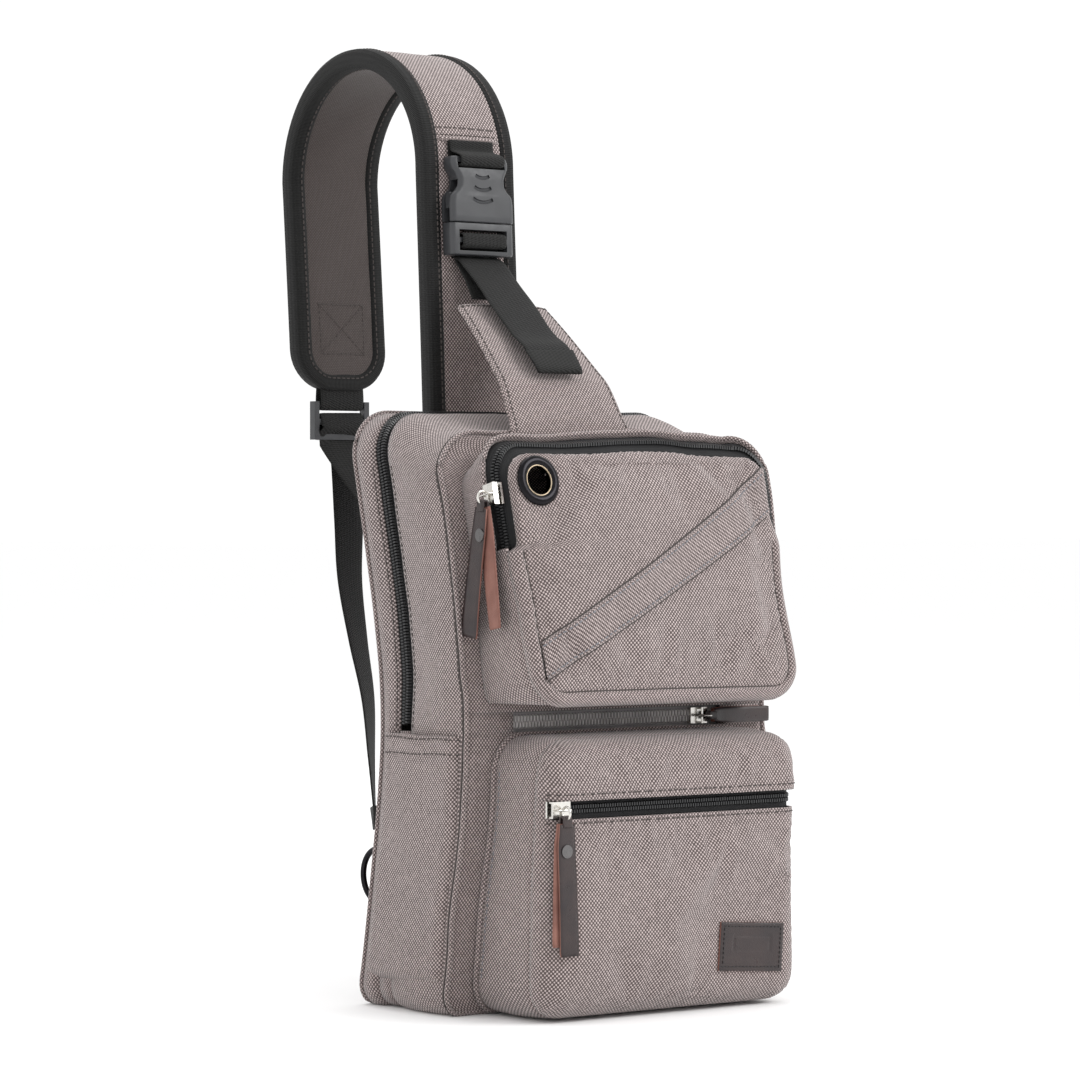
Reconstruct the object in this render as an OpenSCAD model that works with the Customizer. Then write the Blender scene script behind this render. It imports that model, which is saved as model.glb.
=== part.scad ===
// Canvas sling bag with two front pockets, a padded shoulder strap and a side-release buckle.
// Millimetres. +Z up, front is -Y, origin at the centre of the flat base.

/* [Body] */
// Width of the main compartment
body_w = 216; // [210:1:222]
// Height of the main compartment
body_h = 332; // [328:1:336]
// Depth of the main compartment
body_d = 78; // [76:1:80]
// Radius of the forward bow of the body
bow_r = 700; // [690:10:720]
// Thickness of the canvas
fabric = 2; // [1.8:0.1:2.2]

/* [Upper pocket] */
// Width of the upper pocket
upper_w = 192; // [188:1:196]
// Height of the slanted face of the upper pocket
upper_h = 150; // [148:1:152]

/* [Lower pocket] */
// Width of the lower pocket
lower_w = 183; // [180:1:185]
// Height of the zip line above the floor
lower_zip_z = 116; // [112:1:118]

/* [Strap] */
// Width of the padded shoulder strap
strap_w = 64; // [60:1:66]
// Sideways place of the strap on the bag
strap_x = -18; // [-20:1:-16]
// Width of the webbing
webbing_w = 32; // [30:1:32]

/* [Zips] */
// Width of the gap in the canvas over each zip
zip_gap = 11; // [11:0.5:12]
// Length of a leather pull
pull_len = 72; // [66:1:74]

/* [Hidden] */
$fn = 48;

// colours
canvas_c = [0.66, 0.58, 0.53];
dark_canvas_c = [0.5, 0.42, 0.36];
webbing_c = [0.12, 0.12, 0.12];
plastic_c = [0.25, 0.26, 0.27];
leather_c = [0.25, 0.13, 0.1];
nickel_c = [0.78, 0.77, 0.74];
gunmetal_c = [0.3, 0.29, 0.28];
foam_c = [0.8, 0.8, 0.78];
lining_c = [0.35, 0.3, 0.28];

// body profile: the front and the back are arcs about one far centre behind the bag
bow_z = 145;
mid_y = -17;
bow_y = mid_y + bow_r;
front_y = mid_y - body_d / 2;
back_y = mid_y + body_d / 2;
corner_top = 28;
corner_bottom = 14;
foam_t = 6;
lining_t = 1;
arc_fn = 720;
clear = 0.3;

// the front folds about this line, and the main zip ends on the sides at zip_end_z
fold_z = 170;
zip_end_z = 158;
zip_half = zip_gap / 2;

// height of the front and back surfaces' y at a given z
function surf_y(y0, z) = bow_y - sqrt(pow(bow_y - y0, 2) - pow(z - bow_z, 2));
fold_y = surf_y(front_y, fold_z);

// ---------- shared shapes ----------

// extrude an outline drawn in (y, z) along X
module along_x(len) {
    rotate([90, 0, 90])
        translate([0, 0, -len / 2])
            linear_extrude(len)
                children();
}

// extrude an outline drawn in (x, z) along Y
module along_y(y0, y1) {
    translate([0, y1, 0])
        rotate([90, 0, 0])
            linear_extrude(y1 - y0)
                children();
}

// rounded rectangle from z0 to z1 with its own radius at the bottom and the top
module round_rect(w, z0, z1, rb, rt) {
    translate([-w / 2 + rb, z0]) square([w - 2 * rb, rb]);
    translate([-w / 2, z0 + rb]) square([w, z1 - z0 - rb - rt]);
    translate([-w / 2 + rt, z1 - rt]) square([w - 2 * rt, rt]);
    for (side = [-1, 1]) {
        translate([side * (w / 2 - rb), z0 + rb]) circle(rb);
        translate([side * (w / 2 - rt), z1 - rt]) circle(rt);
    }
}

// slab between two bowed surfaces
module slab(y0, y1, len = 260) {
    along_x(len)
        intersection() {
            translate([bow_y, bow_z])
                difference() {
                    circle(bow_y - y0, $fn = arc_fn);
                    circle(bow_y - y1, $fn = arc_fn);
                }
            translate([-120, -10]) square([240, 360]);
        }
}

// outline of the body, drawn inwards by inset
module body_outline(inset = 0) {
    round_rect(body_w - 2 * inset, inset, body_h - inset, corner_bottom - inset / 2, corner_top - inset);
}

// a band of the body wall between two insets and two bowed surfaces
module wall_band(inset_out, inset_in, y0, y1) {
    intersection() {
        slab(y0, y1);
        along_y(-120, 120)
            difference() {
                body_outline(inset_out);
                body_outline(inset_in);
            }
    }
}

// the part of the body above the fold line and the zip ends
module above_fold(gap) {
    along_x(300)
        polygon([[-140, fold_z + gap], [-40, fold_z + gap], [-6, zip_end_z + gap],
                 [80, zip_end_z + gap], [80, 420], [-140, 420]]);
}

// ring of round wire in the plane across Z
module wire_ring(major, wire) {
    rotate_extrude($fn = 48)
        translate([major, 0]) circle(wire, $fn = 20);
}

// flat strip of webbing between two points, its width kept near X
function unit(v) = v / norm(v);
module strip(a, b, w, t) {
    dz = unit(b - a);
    dx = unit([1, 0, 0] - dz * dz[0]);
    dy = cross(dz, dx);
    multmatrix([[dx[0], dy[0], dz[0], a[0]], [dx[1], dy[1], dz[1], a[1]], [dx[2], dy[2], dz[2], a[2]]])
        translate([-w / 2, -t / 2, 0])
            cube([w, t, norm(b - a)]);
}

// webbing of thickness t along a side outline of (y, z) points
function turn(v) = [-v[1], v[0]];
function side_of(p, i) =
    i == 0 ? turn(unit(p[1] - p[0])) :
    i == len(p) - 1 ? turn(unit(p[i] - p[i - 1])) :
    unit(turn(unit(p[i] - p[i - 1])) + turn(unit(p[i + 1] - p[i])));
module ribbon(p, x, w, t) {
    translate([x, 0, 0])
        along_x(w)
            polygon(concat([for (i = [0:len(p) - 1]) p[i] + side_of(p, i) * t / 2],
                           [for (i = [len(p) - 1:-1:0]) p[i] - side_of(p, i) * t / 2]));
}

// ---------- zips: drawn on the plane y = 0, facing -Y, with the track along X ----------

coil_gap = 1.2;
coil_w = 2.3;
coil_t = 2.2;
tape_t = 0.6;
bail_y = -6.8;
bail_half = 4;
wire_r = 0.7;
ring_major = 3.3;
ring_drop = 1.4;
ring_out = 1.3;
leaf_drop = 6.5;
leather_w = 12;
leather_t = 1.5;
rivet_drop = 22;

// tape and coil of a closed zip
module zip_track(x0, x1, tape_half) {
    for (side = [-1, 1]) {
        translate([x0, 0, side > 0 ? coil_gap / 2 : -tape_half])
            cube([x1 - x0, tape_t, tape_half - coil_gap / 2]);
        translate([x0, -coil_t, side > 0 ? coil_gap / 2 : -coil_gap / 2 - coil_w])
            cube([x1 - x0, coil_t, coil_w]);
    }
}

// slider with two plates, a thin post between the coils, flanges and a bail
module slider(cross_bail) {
    plate_l = 12;
    plate_w = 9;
    plate_t = 1.4;
    top_y = -coil_t - 0.4 - plate_t;
    translate([-plate_l / 2, top_y, -plate_w / 2]) cube([plate_l, plate_t, plate_w]);
    translate([-plate_l / 2, tape_t + 0.4, -plate_w / 2]) cube([plate_l, plate_t, plate_w]);
    translate([1, top_y + 0.5, -0.35]) cube([4, tape_t + 0.8 - top_y, 0.7]);
    for (side = [-1, 1])
        translate([-plate_l / 2, top_y + 0.5, side > 0 ? plate_w / 2 - 0.9 : -plate_w / 2])
            cube([plate_l, plate_t + 1.3, 0.9]);
    rotate([0, cross_bail ? 90 : 0, 0]) {
        rotate([0, 90, 0])
            translate([0, bail_y, -bail_half]) cylinder(h = 2 * bail_half, r = 0.6, $fn = 24);
        for (side = [-1, 1])
            translate([side * bail_half, bail_y, 0])
                rotate([-90, 0, 0]) cylinder(h = top_y - bail_y + 0.2, r = 0.6, $fn = 24);
    }
}

// wire ring that hangs on a bail, in the plane across X
module pull_ring() {
    translate([0, bail_y - ring_out, -ring_drop])
        rotate([0, 90, 0]) wire_ring(ring_major, wire_r);
}

// one leather leaf below the ring, at depth y, turned in its own plane by lean
module leaf(y, lean, len) {
    translate([0, 0, -rivet_drop])
        rotate([0, lean, 0])
            translate([0, 0, rivet_drop])
                difference() {
                    translate([-leather_w / 2, y - leather_t, -leaf_drop - len])
                        cube([leather_w, leather_t, len]);
                    translate([0, y + 1, -rivet_drop])
                        rotate([90, 0, 0]) cylinder(h = leather_t + 2, r = 1.6, $fn = 24);
                }
}

// rivet through both leaves
module rivet(y_out, y_in) {
    translate([0, y_in, -rivet_drop])
        rotate([90, 0, 0]) {
            cylinder(h = y_in - y_out, r = 1.5, $fn = 24);
            translate([0, 0, y_in - y_out]) cylinder(h = 1, r = 3.6, $fn = 32);
        }
}

// ---------- main compartment ----------

module back_panel() {
    color(canvas_c)
        intersection() {
            slab(back_y - fabric, back_y);
            along_y(-120, 120) body_outline();
        }
}

module back_foam() {
    color(foam_c)
        intersection() {
            slab(back_y - fabric - foam_t, back_y - fabric);
            along_y(-120, 120) body_outline(6);
        }
}

module rear_lining() {
    color(lining_c)
        intersection() {
            slab(back_y - fabric - foam_t - lining_t, back_y - fabric - foam_t);
            along_y(-120, 120) body_outline(4);
        }
}

module rear_gusset() {
    color(canvas_c)
        intersection() {
            wall_band(0, fabric, zip_half, back_y - fabric);
            above_fold(clear);
        }
}

module lower_gusset() {
    color(canvas_c)
        difference() {
            wall_band(0, fabric, front_y + fabric, back_y - fabric);
            above_fold(-clear);
        }
}

module front_gusset() {
    color(canvas_c)
        intersection() {
            wall_band(0, fabric, front_y + fabric, -zip_half);
            above_fold(clear);
        }
}

module front_panel_lower() {
    recess_half = upper_w / 2 - 20;
    color(canvas_c)
        difference() {
            intersection() {
                slab(front_y, front_y + fabric);
                along_y(-120, 120) body_outline();
            }
            above_fold(-clear);
            translate([-recess_half, -80, recess_z - zip_half]) cube([2 * recess_half, 60, zip_gap]);
        }
}

module front_panel_upper() {
    color(canvas_c)
        intersection() {
            slab(front_y, front_y + fabric);
            along_y(-120, 120) body_outline();
            above_fold(clear);
        }
}

module front_lining() {
    color(lining_c)
        intersection() {
            slab(front_y + fabric, front_y + fabric + lining_t);
            along_y(-120, 120) body_outline(4);
            above_fold(6);
        }
}

// half of the main zip: two narrow bands that follow the top and the sides
module main_zip_half(side) {
    tape = side > 0 ? [coil_gap / 2, zip_half + 3] : [-zip_half - 3, -coil_gap / 2];
    coil = side > 0 ? [coil_gap / 2, coil_gap / 2 + coil_w] : [-coil_gap / 2 - coil_w, -coil_gap / 2];
    intersection() {
        union() {
            wall_band(fabric, fabric + tape_t, tape[0], tape[1]);
            wall_band(fabric - coil_t, fabric, coil[0], coil[1]);
        }
        above_fold(side > 0 ? clear : 2);
        above_slider(side);
    }
}

// leaves out the stretch of track beside the parked slider, so that the front can fold
module above_slider(side) {
    translate([-150, -150, 0]) cube([side > 0 ? 300 : 240, 300, 400]);
    translate([-150, -150, main_slider_z + 10]) cube([300, 300, 400]);
}

module main_zip_tape_rear() {
    color(webbing_c) main_zip_half(1);
}

module main_zip_tape_front() {
    color(webbing_c) main_zip_half(-1);
}

// slip pocket on the lower side: a shallow tray with an open top
pocket_gap = 4.6;
pocket_top_z = 154;
module side_pocket(side) {
    pocket_bottom_z = 16;
    color(canvas_c)
        intersection() {
            slab(front_y + 4, back_y - 4);
            difference() {
                translate([side > 0 ? body_w / 2 : -body_w / 2 - pocket_gap - fabric, -100, pocket_bottom_z])
                    cube([pocket_gap + fabric, 200, pocket_top_z - pocket_bottom_z]);
                intersection() {
                    slab(front_y + 6, back_y - 6);
                    translate([side > 0 ? body_w / 2 - 1 : -body_w / 2 - pocket_gap, -100, pocket_bottom_z + 2])
                        cube([pocket_gap + 1, 200, pocket_top_z]);
                }
            }
        }
}

module side_pocket_left() { side_pocket(-1); }
module side_pocket_right() { side_pocket(1); }

// ---------- recess zip between the pockets ----------

recess_z = 161;
recess_x0 = -76;
recess_slider_x = 60;
recess_y = surf_y(front_y, recess_z) + fabric + 0.2;

module at_recess() {
    translate([recess_slider_x, recess_y, recess_z]) children();
}

module recess_zip_tape() {
    color(webbing_c)
        translate([0, recess_y, recess_z]) zip_track(recess_x0, -recess_x0, zip_half + 1.5);
}

module recess_slider() {
    color(nickel_c) at_recess() slider(true);
}

// this pull lies along the zip, so it hangs on a crosswise bail and points to +X
module recess_pull_ring() {
    color(nickel_c)
        at_recess() translate([ring_drop, bail_y - ring_out, 0]) wire_ring(ring_major, wire_r);
}

recess_pull_len = 42;
module recess_pull_leather() {
    leather_h = 9;
    color(leather_c)
        at_recess()
            for (y = [bail_y - 0.2, bail_y + leather_t + 0.2])
                translate([leaf_drop, y - leather_t, -leather_h / 2])
                    cube([recess_pull_len, leather_t, leather_h]);
}

// ---------- main zip slider on the right side ----------

main_slider_z = 172;
main_slider_y = surf_y(0, main_slider_z);

module at_main_slider() {
    translate([body_w / 2 - fabric, main_slider_y, main_slider_z])
        rotate([0, 0, 90])
            rotate([0, 90, 0])
                children();
}

module at_main_pull() {
    translate([body_w / 2 - fabric, main_slider_y, main_slider_z])
        rotate([0, 0, 90]) children();
}

module main_slider() {
    color(nickel_c) at_main_slider() slider(true);
}

module main_pull_ring() {
    color(nickel_c) at_main_pull() pull_ring();
}

module main_pull_leather() {
    color(leather_c)
        at_main_pull() {
            leaf(-8.8, 0, pull_len);
            leaf(-10.6, 6, pull_len);
        }
}

module main_pull_rivet() {
    color(gunmetal_c) at_main_pull() rivet(-12.1, -8.7);
}

// ---------- lower pocket ----------

lower_front_y = -108;
lower_top_z = 153;
lower_bottom_z = 2;
lower_x = 2;
lower_r = 18;

module lower_pocket_solid(inset) {
    intersection() {
        translate([lower_x, 0, 0])
            along_x(lower_w - 2 * inset)
                translate([(lower_front_y - 40) / 2, 0])
                    round_rect(-lower_front_y - 40 - 2 * inset, lower_bottom_z + inset, lower_top_z - inset,
                               lower_r - inset, lower_r - inset);
        translate([lower_x, 0, 0])
            along_y(-130, -20)
                round_rect(lower_w - 2 * inset, lower_bottom_z + inset, lower_top_z - inset,
                           lower_r - inset, lower_r - inset);
        slab(-130, front_y - (inset > 0 ? -10 : 0.01));
    }
}

module lower_pocket_shell() {
    difference() {
        lower_pocket_solid(0);
        lower_pocket_solid(fabric);
    }
}

lower_seam_y = lower_front_y + lower_r - 4;

module lower_front_region(z0, z1) {
    translate([-150, -140, z0]) cube([300, 140 + lower_seam_y, z1 - z0]);
}

module lower_pocket_front() {
    color(canvas_c)
        intersection() {
            lower_pocket_shell();
            lower_front_region(-10, lower_zip_z - zip_half);
        }
}

module lower_pocket_top() {
    color(canvas_c)
        intersection() {
            lower_pocket_shell();
            union() {
                lower_front_region(lower_zip_z + zip_half, 200);
                translate([-150, -140, lower_top_z - 8]) cube([300, 140, 30]);
            }
        }
}

module lower_pocket_gusset() {
    color(canvas_c)
        difference() {
            lower_pocket_shell();
            lower_front_region(-10, 200);
            translate([-150, -140, lower_top_z - 8]) cube([300, 140, 30]);
        }
}

module at_lower_zip(x) {
    translate([x, lower_front_y + fabric, lower_zip_z]) children();
}

lower_slider_x = -80;
module lower_zip_tape() {
    color(webbing_c)
        at_lower_zip(lower_x)
            zip_track(-lower_w / 2 + fabric + 0.2, lower_w / 2 - fabric - 0.2, zip_half + 3);
}

module lower_slider() {
    color(nickel_c) at_lower_zip(lower_slider_x) slider(false);
}

module lower_pull_ring() {
    color(nickel_c) at_lower_zip(lower_slider_x) pull_ring();
}

module lower_pull_leather() {
    color(leather_c)
        at_lower_zip(lower_slider_x) {
            leaf(-4.6, 0, pull_len);
            leaf(-6.6, -3, pull_len);
        }
}

module lower_pull_rivet() {
    color(gunmetal_c) at_lower_zip(lower_slider_x) rivet(-8.1, -4.2);
}

module leather_patch() {
    patch_w = 46;
    patch_h = 27;
    patch_t = 1.6;
    color(leather_c)
        translate([55, lower_front_y - 0.05, 34])
            rotate([0, -4, 0])
                along_y(-patch_t, 0)
                    round_rect(patch_w, -patch_h / 2, patch_h / 2, 1.5, 1.5);
}

// ---------- upper pocket, drawn in a frame that leans back with its face ----------

upper_lean = 12.4;
upper_y = -106;
upper_z = 172;
upper_r = 20;

module upper_frame() {
    translate([0, upper_y, upper_z])
        rotate([-upper_lean, 0, 0]) children();
}

// the space in front of the front panel and above the pocket's flat underside
module upper_clip(y_back) {
    slab(-150, y_back);
}

module upper_solid(inset) {
    intersection() {
        upper_frame()
            along_y(inset, 80)
                round_rect(upper_w - 2 * inset, inset, upper_h - inset, upper_r - inset, upper_r - inset);
        translate([-150, -150, upper_z + inset]) cube([300, 150, 200]);
        upper_clip(front_y - (inset > 0 ? -10 : 0.01));
    }
}

module upper_shell() {
    difference() {
        upper_solid(0);
        upper_solid(fabric);
    }
}

// band of the pocket's wall that the zip takes: a U over the top and part of the sides
upper_zip_y = 12;
upper_zip_end = 88;
module upper_zip_region(y0, y1) {
    upper_frame()
        translate([-150, y0, upper_zip_end]) cube([300, y1 - y0, 200]);
}

module upper_pocket_face() {
    color(canvas_c)
        difference() {
            intersection() {
                upper_shell();
                upper_frame() translate([-150, -10, -50]) cube([300, 10 + upper_zip_y - zip_half, 250]);
            }
            upper_frame() grommet_hole();
        }
}

module upper_pocket_gusset() {
    color(canvas_c)
        difference() {
            upper_shell();
            upper_frame() translate([-150, -10, -50]) cube([300, 10 + upper_zip_y - zip_half, 250]);
            upper_zip_region(0, upper_zip_y + zip_half);
        }
}

module upper_zip_tape() {
    color(webbing_c)
        upper_frame() {
            for (side = [-1, 1]) {
                tape = side > 0 ? [coil_gap / 2, zip_half + 1.5] : [-zip_half - 1.5, -coil_gap / 2];
                coil = side > 0 ? [coil_gap / 2, coil_gap / 2 + coil_w]
                                : [-coil_gap / 2 - coil_w, -coil_gap / 2];
                difference() {
                    union() {
                        along_y(upper_zip_y + tape[0], upper_zip_y + tape[1]) upper_ring(fabric, tape_t);
                        along_y(upper_zip_y + coil[0], upper_zip_y + coil[1]) upper_ring(fabric - coil_t, coil_t);
                    }
                    translate([-150, -50, -100]) cube([300, 150, 100 + upper_zip_end + 0.3]);
                }
            }
        }
}

// ring-shaped outline that follows the pocket's wall
module upper_ring(inset, t) {
    difference() {
        round_rect(upper_w - 2 * inset, inset, upper_h - inset, upper_r - inset, upper_r - inset);
        round_rect(upper_w - 2 * inset - 2 * t, inset + t, upper_h - inset - t,
                   upper_r - inset - t, upper_r - inset - t);
    }
}

// curved band sewn across the face
band_w = 21;
band_r = 420;
module diagonal_band() {
    band_t = 1.4;
    color(canvas_c)
        upper_frame()
            intersection() {
                along_y(-band_t - 0.02, -0.02)
                    translate([-174, 432])
                        difference() {
                            circle(band_r, $fn = 360);
                            circle(band_r - band_w, $fn = 360);
                        }
                along_y(-5, 5)
                    round_rect(upper_w - 4, 2, upper_h - 2, upper_r - 2, upper_r - 2);
            }
}

grommet_x = -73;
grommet_z = 124;
grommet_r = 7.5;
grommet_out = 14;

module grommet_hole() {
    translate([grommet_x, -10, grommet_z])
        rotate([-90, 0, 0]) cylinder(h = 20, r = grommet_r + 1.5);
}

// front ring with a barrel through the canvas
module grommet_front() {
    color(gunmetal_c)
        upper_frame()
            translate([grommet_x, 0, grommet_z])
                rotate([90, 0, 0])
                    difference() {
                        union() {
                            translate([0, 0, -fabric - 1])
                                cylinder(h = fabric + 1.8, r = grommet_r + 1.2, $fn = 96);
                            translate([0, 0, 0.02]) cylinder(h = 2, r = grommet_out, $fn = 96);
                        }
                        translate([0, 0, -fabric - 2]) cylinder(h = 8, r = grommet_r, $fn = 96);
                    }
}

module grommet_back() {
    color(gunmetal_c)
        upper_frame()
            translate([grommet_x, fabric + 0.02, grommet_z])
                rotate([-90, 0, 0])
                    difference() {
                        cylinder(h = 0.9, r = grommet_out - 1, $fn = 96);
                        translate([0, 0, -1]) cylinder(h = 4, r = grommet_r + 1.25, $fn = 96);
                    }
}

// slider and pull on the left leg of the upper zip
upper_slider_z = 119;
module at_upper_slider() {
    upper_frame()
        translate([-upper_w / 2 + fabric, upper_zip_y, upper_slider_z])
            rotate([0, 0, -90]) children();
}

// the pull hangs plumb, so only its hanging point leans with the pocket
function lean_y(y, z) = y * cos(upper_lean) + z * sin(upper_lean);
function lean_z(y, z) = z * cos(upper_lean) - y * sin(upper_lean);
upper_pull_y = upper_y + lean_y(upper_zip_y, upper_slider_z);
upper_pull_z = upper_z + lean_z(upper_zip_y, upper_slider_z);
module at_upper_pull() {
    translate([-upper_w / 2 + fabric, upper_pull_y, upper_pull_z])
        rotate([0, 0, -90]) children();
}

module upper_slider() {
    color(nickel_c) at_upper_slider() rotate([0, 90, 0]) slider(true);
}

module upper_pull_ring() {
    color(nickel_c) at_upper_pull() pull_ring();
}

module upper_pull_leather() {
    color(leather_c)
        at_upper_pull() {
            leaf(-6, -12, pull_len);
            leaf(-8, 5, pull_len - 4);
        }
}

module upper_pull_rivet() {
    color(gunmetal_c) at_upper_pull() rivet(-9.5, -5.6);
}

// tab that bridges from the top of the front panel towards the strap
tab_top = [30, 394];
tab_bend = [-34.5, 334];
tab_x = -15;
module tab() {
    tab_t = 3.6;
    tab_low_z = 323;
    tab_w_top = 64;
    tab_w_low = 95;
    bend_dir = unit([tab_top[0] - tab_bend[0], tab_top[1] - tab_bend[1]]);
    side_dir = [-bend_dir[1], bend_dir[0]] * tab_t;
    color(canvas_c)
        intersection() {
            along_x(140)
                polygon([tab_top, tab_bend, [tab_bend[0] - 0.2, tab_low_z],
                         [tab_bend[0] - 0.2 - tab_t, tab_low_z], tab_bend + side_dir, tab_top + side_dir]);
            along_y(-120, 120)
                polygon([[tab_x - tab_w_low / 2, tab_low_z], [tab_x + tab_w_low / 2, tab_low_z],
                         [tab_x + tab_w_low / 2 - 4, tab_low_z + 14], [tab_x + tab_w_top / 2, tab_top[1] + 5],
                         [tab_x - tab_w_top / 2 - 2, tab_top[1] + 5], [tab_x - tab_w_low / 2, tab_low_z + 14]]);
        }
}

// ---------- shoulder strap: a front run, a half circle and a back run ----------

strap_foot = [52.5, 312];
strap_front = [60, 474];
strap_r = 68;
strap_back = [strap_front[0] + 2 * strap_r, 474];
strap_end = [186, 350];
strap_t = 8;
strap_skin = 1.6;
binding_w = 10;
binding_t = 1;

// side outline of a layer between two offsets from the strap's middle line, outwards positive
module strap_side(o1, o2) {
    polygon([[strap_foot[0] - o1, strap_foot[1]], [strap_foot[0] - o2, strap_foot[1]],
             [strap_front[0] - o2, strap_front[1]], [strap_front[0] - o1, strap_front[1]]]);
    intersection() {
        translate([strap_front[0] + strap_r, strap_front[1]])
            difference() {
                circle(strap_r + o2, $fn = 240);
                circle(strap_r + o1, $fn = 240);
            }
        translate([0, strap_front[1]]) square([300, 200]);
    }
    polygon([[strap_back[0] + o1, strap_back[1]], [strap_back[0] + o2, strap_back[1]],
             [strap_end[0] + o2, strap_end[1]], [strap_end[0] + o1, strap_end[1]]]);
}

module strap_layer(o1, o2, w) {
    translate([strap_x, 0, 0])
        along_x(w) strap_side(o1, o2);
}

module strap_outer() {
    color(canvas_c) strap_layer(strap_t / 2 - strap_skin, strap_t / 2, strap_w - 2);
}

module strap_foam() {
    color(foam_c) strap_layer(-strap_t / 2 + strap_skin, strap_t / 2 - strap_skin, strap_w - 2);
}

module strap_inner() {
    color(dark_canvas_c) strap_layer(-strap_t / 2, -strap_t / 2 + strap_skin, strap_w - 2);
}

// ribbed tape folded over both edges and the free end
module binding_edges() {
    for (side = [-1, 1])
        translate([side * strap_w / 2, 0, 0]) {
            translate([-side * 0.5, 0, 0])
                strap_layer(-strap_t / 2 - binding_t, strap_t / 2 + binding_t, 1);
            for (face = [-1, 1])
                translate([-side * binding_w / 2, 0, 0])
                    strap_layer(min(face * strap_t / 2, face * (strap_t / 2 + binding_t)),
                                max(face * strap_t / 2, face * (strap_t / 2 + binding_t)), binding_w);
        }
}

module strap_binding() {
    color(webbing_c) {
        difference() {
            binding_edges();
            slab(back_y - fabric, back_y + 0.1);
        }
        translate([strap_x - strap_w / 2, strap_end[0] - strap_t / 2 - binding_t, strap_end[1] - binding_t])
            cube([strap_w, strap_t + 2 * binding_t, binding_t]);
    }
}

// ---------- ladder lock at the strap's free end ----------

lock_bar_z = 341;
lock_half = 20;
lock_t = 5;
bar_r = 1.75;

module strap_end_loop() {
    color(webbing_c)
        translate([strap_x, strap_end[0], 0])
            difference() {
                union() {
                    translate([-webbing_w / 2, -1.5, lock_bar_z])
                        cube([webbing_w, 3, strap_end[1] - binding_t - lock_bar_z]);
                    translate([-webbing_w / 2, 0, lock_bar_z])
                        rotate([0, 90, 0]) cylinder(h = webbing_w, r = bar_r + 1.5);
                }
                translate([-50, 0, lock_bar_z])
                    rotate([0, 90, 0]) cylinder(h = 100, r = bar_r + 0.07);
            }
}

module ladder_lock() {
    lock_low_z = 320;
    color(plastic_c)
        translate([strap_x, strap_end[0], 0]) {
            translate([-lock_half, 0, lock_bar_z])
                rotate([0, 90, 0]) cylinder(h = 2 * lock_half, r = bar_r);
            for (side = [-1, 1])
                translate([side > 0 ? lock_half - 3.5 : -lock_half, -lock_t / 2, lock_low_z])
                    cube([3.5, lock_t, lock_bar_z + 2 - lock_low_z]);
            for (z = [lock_low_z, lock_low_z + 9])
                translate([-lock_half, -lock_t / 2, z]) cube([2 * lock_half, lock_t, 3.5]);
        }
}

// ---------- rings, hook and load webbing low on the back ----------

ring_x = 97;
ring_z = 72;
ring_bar_y = 35;
ring_r = 15;
ring_panel_y = surf_y(back_y, ring_z - 13) + 0.05;

// D-shaped ring with its straight bar upright, standing out to +Y
module d_ring() {
    translate([0, ring_bar_y, ring_z]) {
        translate([0, 0, -ring_r]) cylinder(h = 2 * ring_r, r = bar_r);
        rotate([90, 0, 90])
            intersection() {
                wire_ring(ring_r, bar_r);
                translate([0, -30, -10]) cube([40, 60, 20]);
            }
        for (side = [-1, 1])
            translate([0, 0, side * ring_r]) sphere(bar_r);
    }
}

module d_ring_left() { color(gunmetal_c) translate([-ring_x, 0, 0]) d_ring(); }
module d_ring_right() { color(gunmetal_c) translate([ring_x, 0, 0]) d_ring(); }

module d_ring_tabs() {
    tab_h = 25;
    color(webbing_c)
        for (side = [-1, 1])
            translate([side * ring_x, 0, ring_z - tab_h / 2])
                difference() {
                    union() {
                        translate([-1.6, ring_panel_y, 0])
                            cube([3.2, ring_bar_y - ring_panel_y, tab_h]);
                        translate([0, ring_bar_y, 0]) cylinder(h = tab_h, r = bar_r + 1.6);
                    }
                    translate([0, ring_bar_y, -1]) cylinder(h = tab_h + 2, r = bar_r + 0.07);
                }
}

load_top = [strap_x, strap_end[0] + 1, 319];
ring_apex = [ring_x, ring_bar_y + ring_r, ring_z];
load_dir = unit(load_top - ring_apex);
load_dx = unit([1, 0, 0] - load_dir * load_dir[0]);
load_dy = cross(load_dir, load_dx);
hook_frame_at = 34;

// frame at the right ring with +Z along the load webbing
module at_hook() {
    multmatrix([[load_dx[0], load_dy[0], load_dir[0], ring_apex[0]],
                [load_dx[1], load_dy[1], load_dir[1], ring_apex[1]],
                [load_dx[2], load_dy[2], load_dir[2], ring_apex[2]]])
        children();
}

// swivel hook: a ring round the D-ring, a neck and a slotted frame for the webbing
module strap_hook() {
    hook_r = 9;
    hook_wire = 1.9;
    hook_turn = atan2(load_dy[2], load_dx[2]);
    hook_eye = 0.4;
    frame_w = webbing_w + 8;
    color(plastic_c)
        at_hook() {
            translate([0, 0, hook_eye])
                rotate([0, 0, hook_turn])
                    rotate([0, 90, 0]) wire_ring(hook_r, hook_wire);
            translate([0, 0, hook_eye + hook_r]) cylinder(h = hook_frame_at + 1 - hook_eye - hook_r, r = 3.6);
            translate([-frame_w / 2, -2.5, hook_frame_at])
                difference() {
                    cube([frame_w, 5, 13]);
                    translate([4 - 0.5, -1, 4]) cube([frame_w - 7, 7, 5]);
                }
        }
}

// its slanted end stops just under the lock
module load_webbing() {
    end_gap = 6.4;
    color(webbing_c)
        strip(ring_apex + load_dir * (hook_frame_at + 13.2), load_top - load_dir * end_gap, webbing_w, 1.6);
}

tail_x = strap_x + 8;
module adjuster_tail() {
    color(webbing_c)
        ribbon([[strap_end[0] + 4.5, 319], [188, 270], [177, 200], [166, 130], [160, 88]],
               tail_x, webbing_w - 7, 1.6);
}

// ---------- side-release buckle, drawn in a frame that leans with the strap's front run ----------

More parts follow.
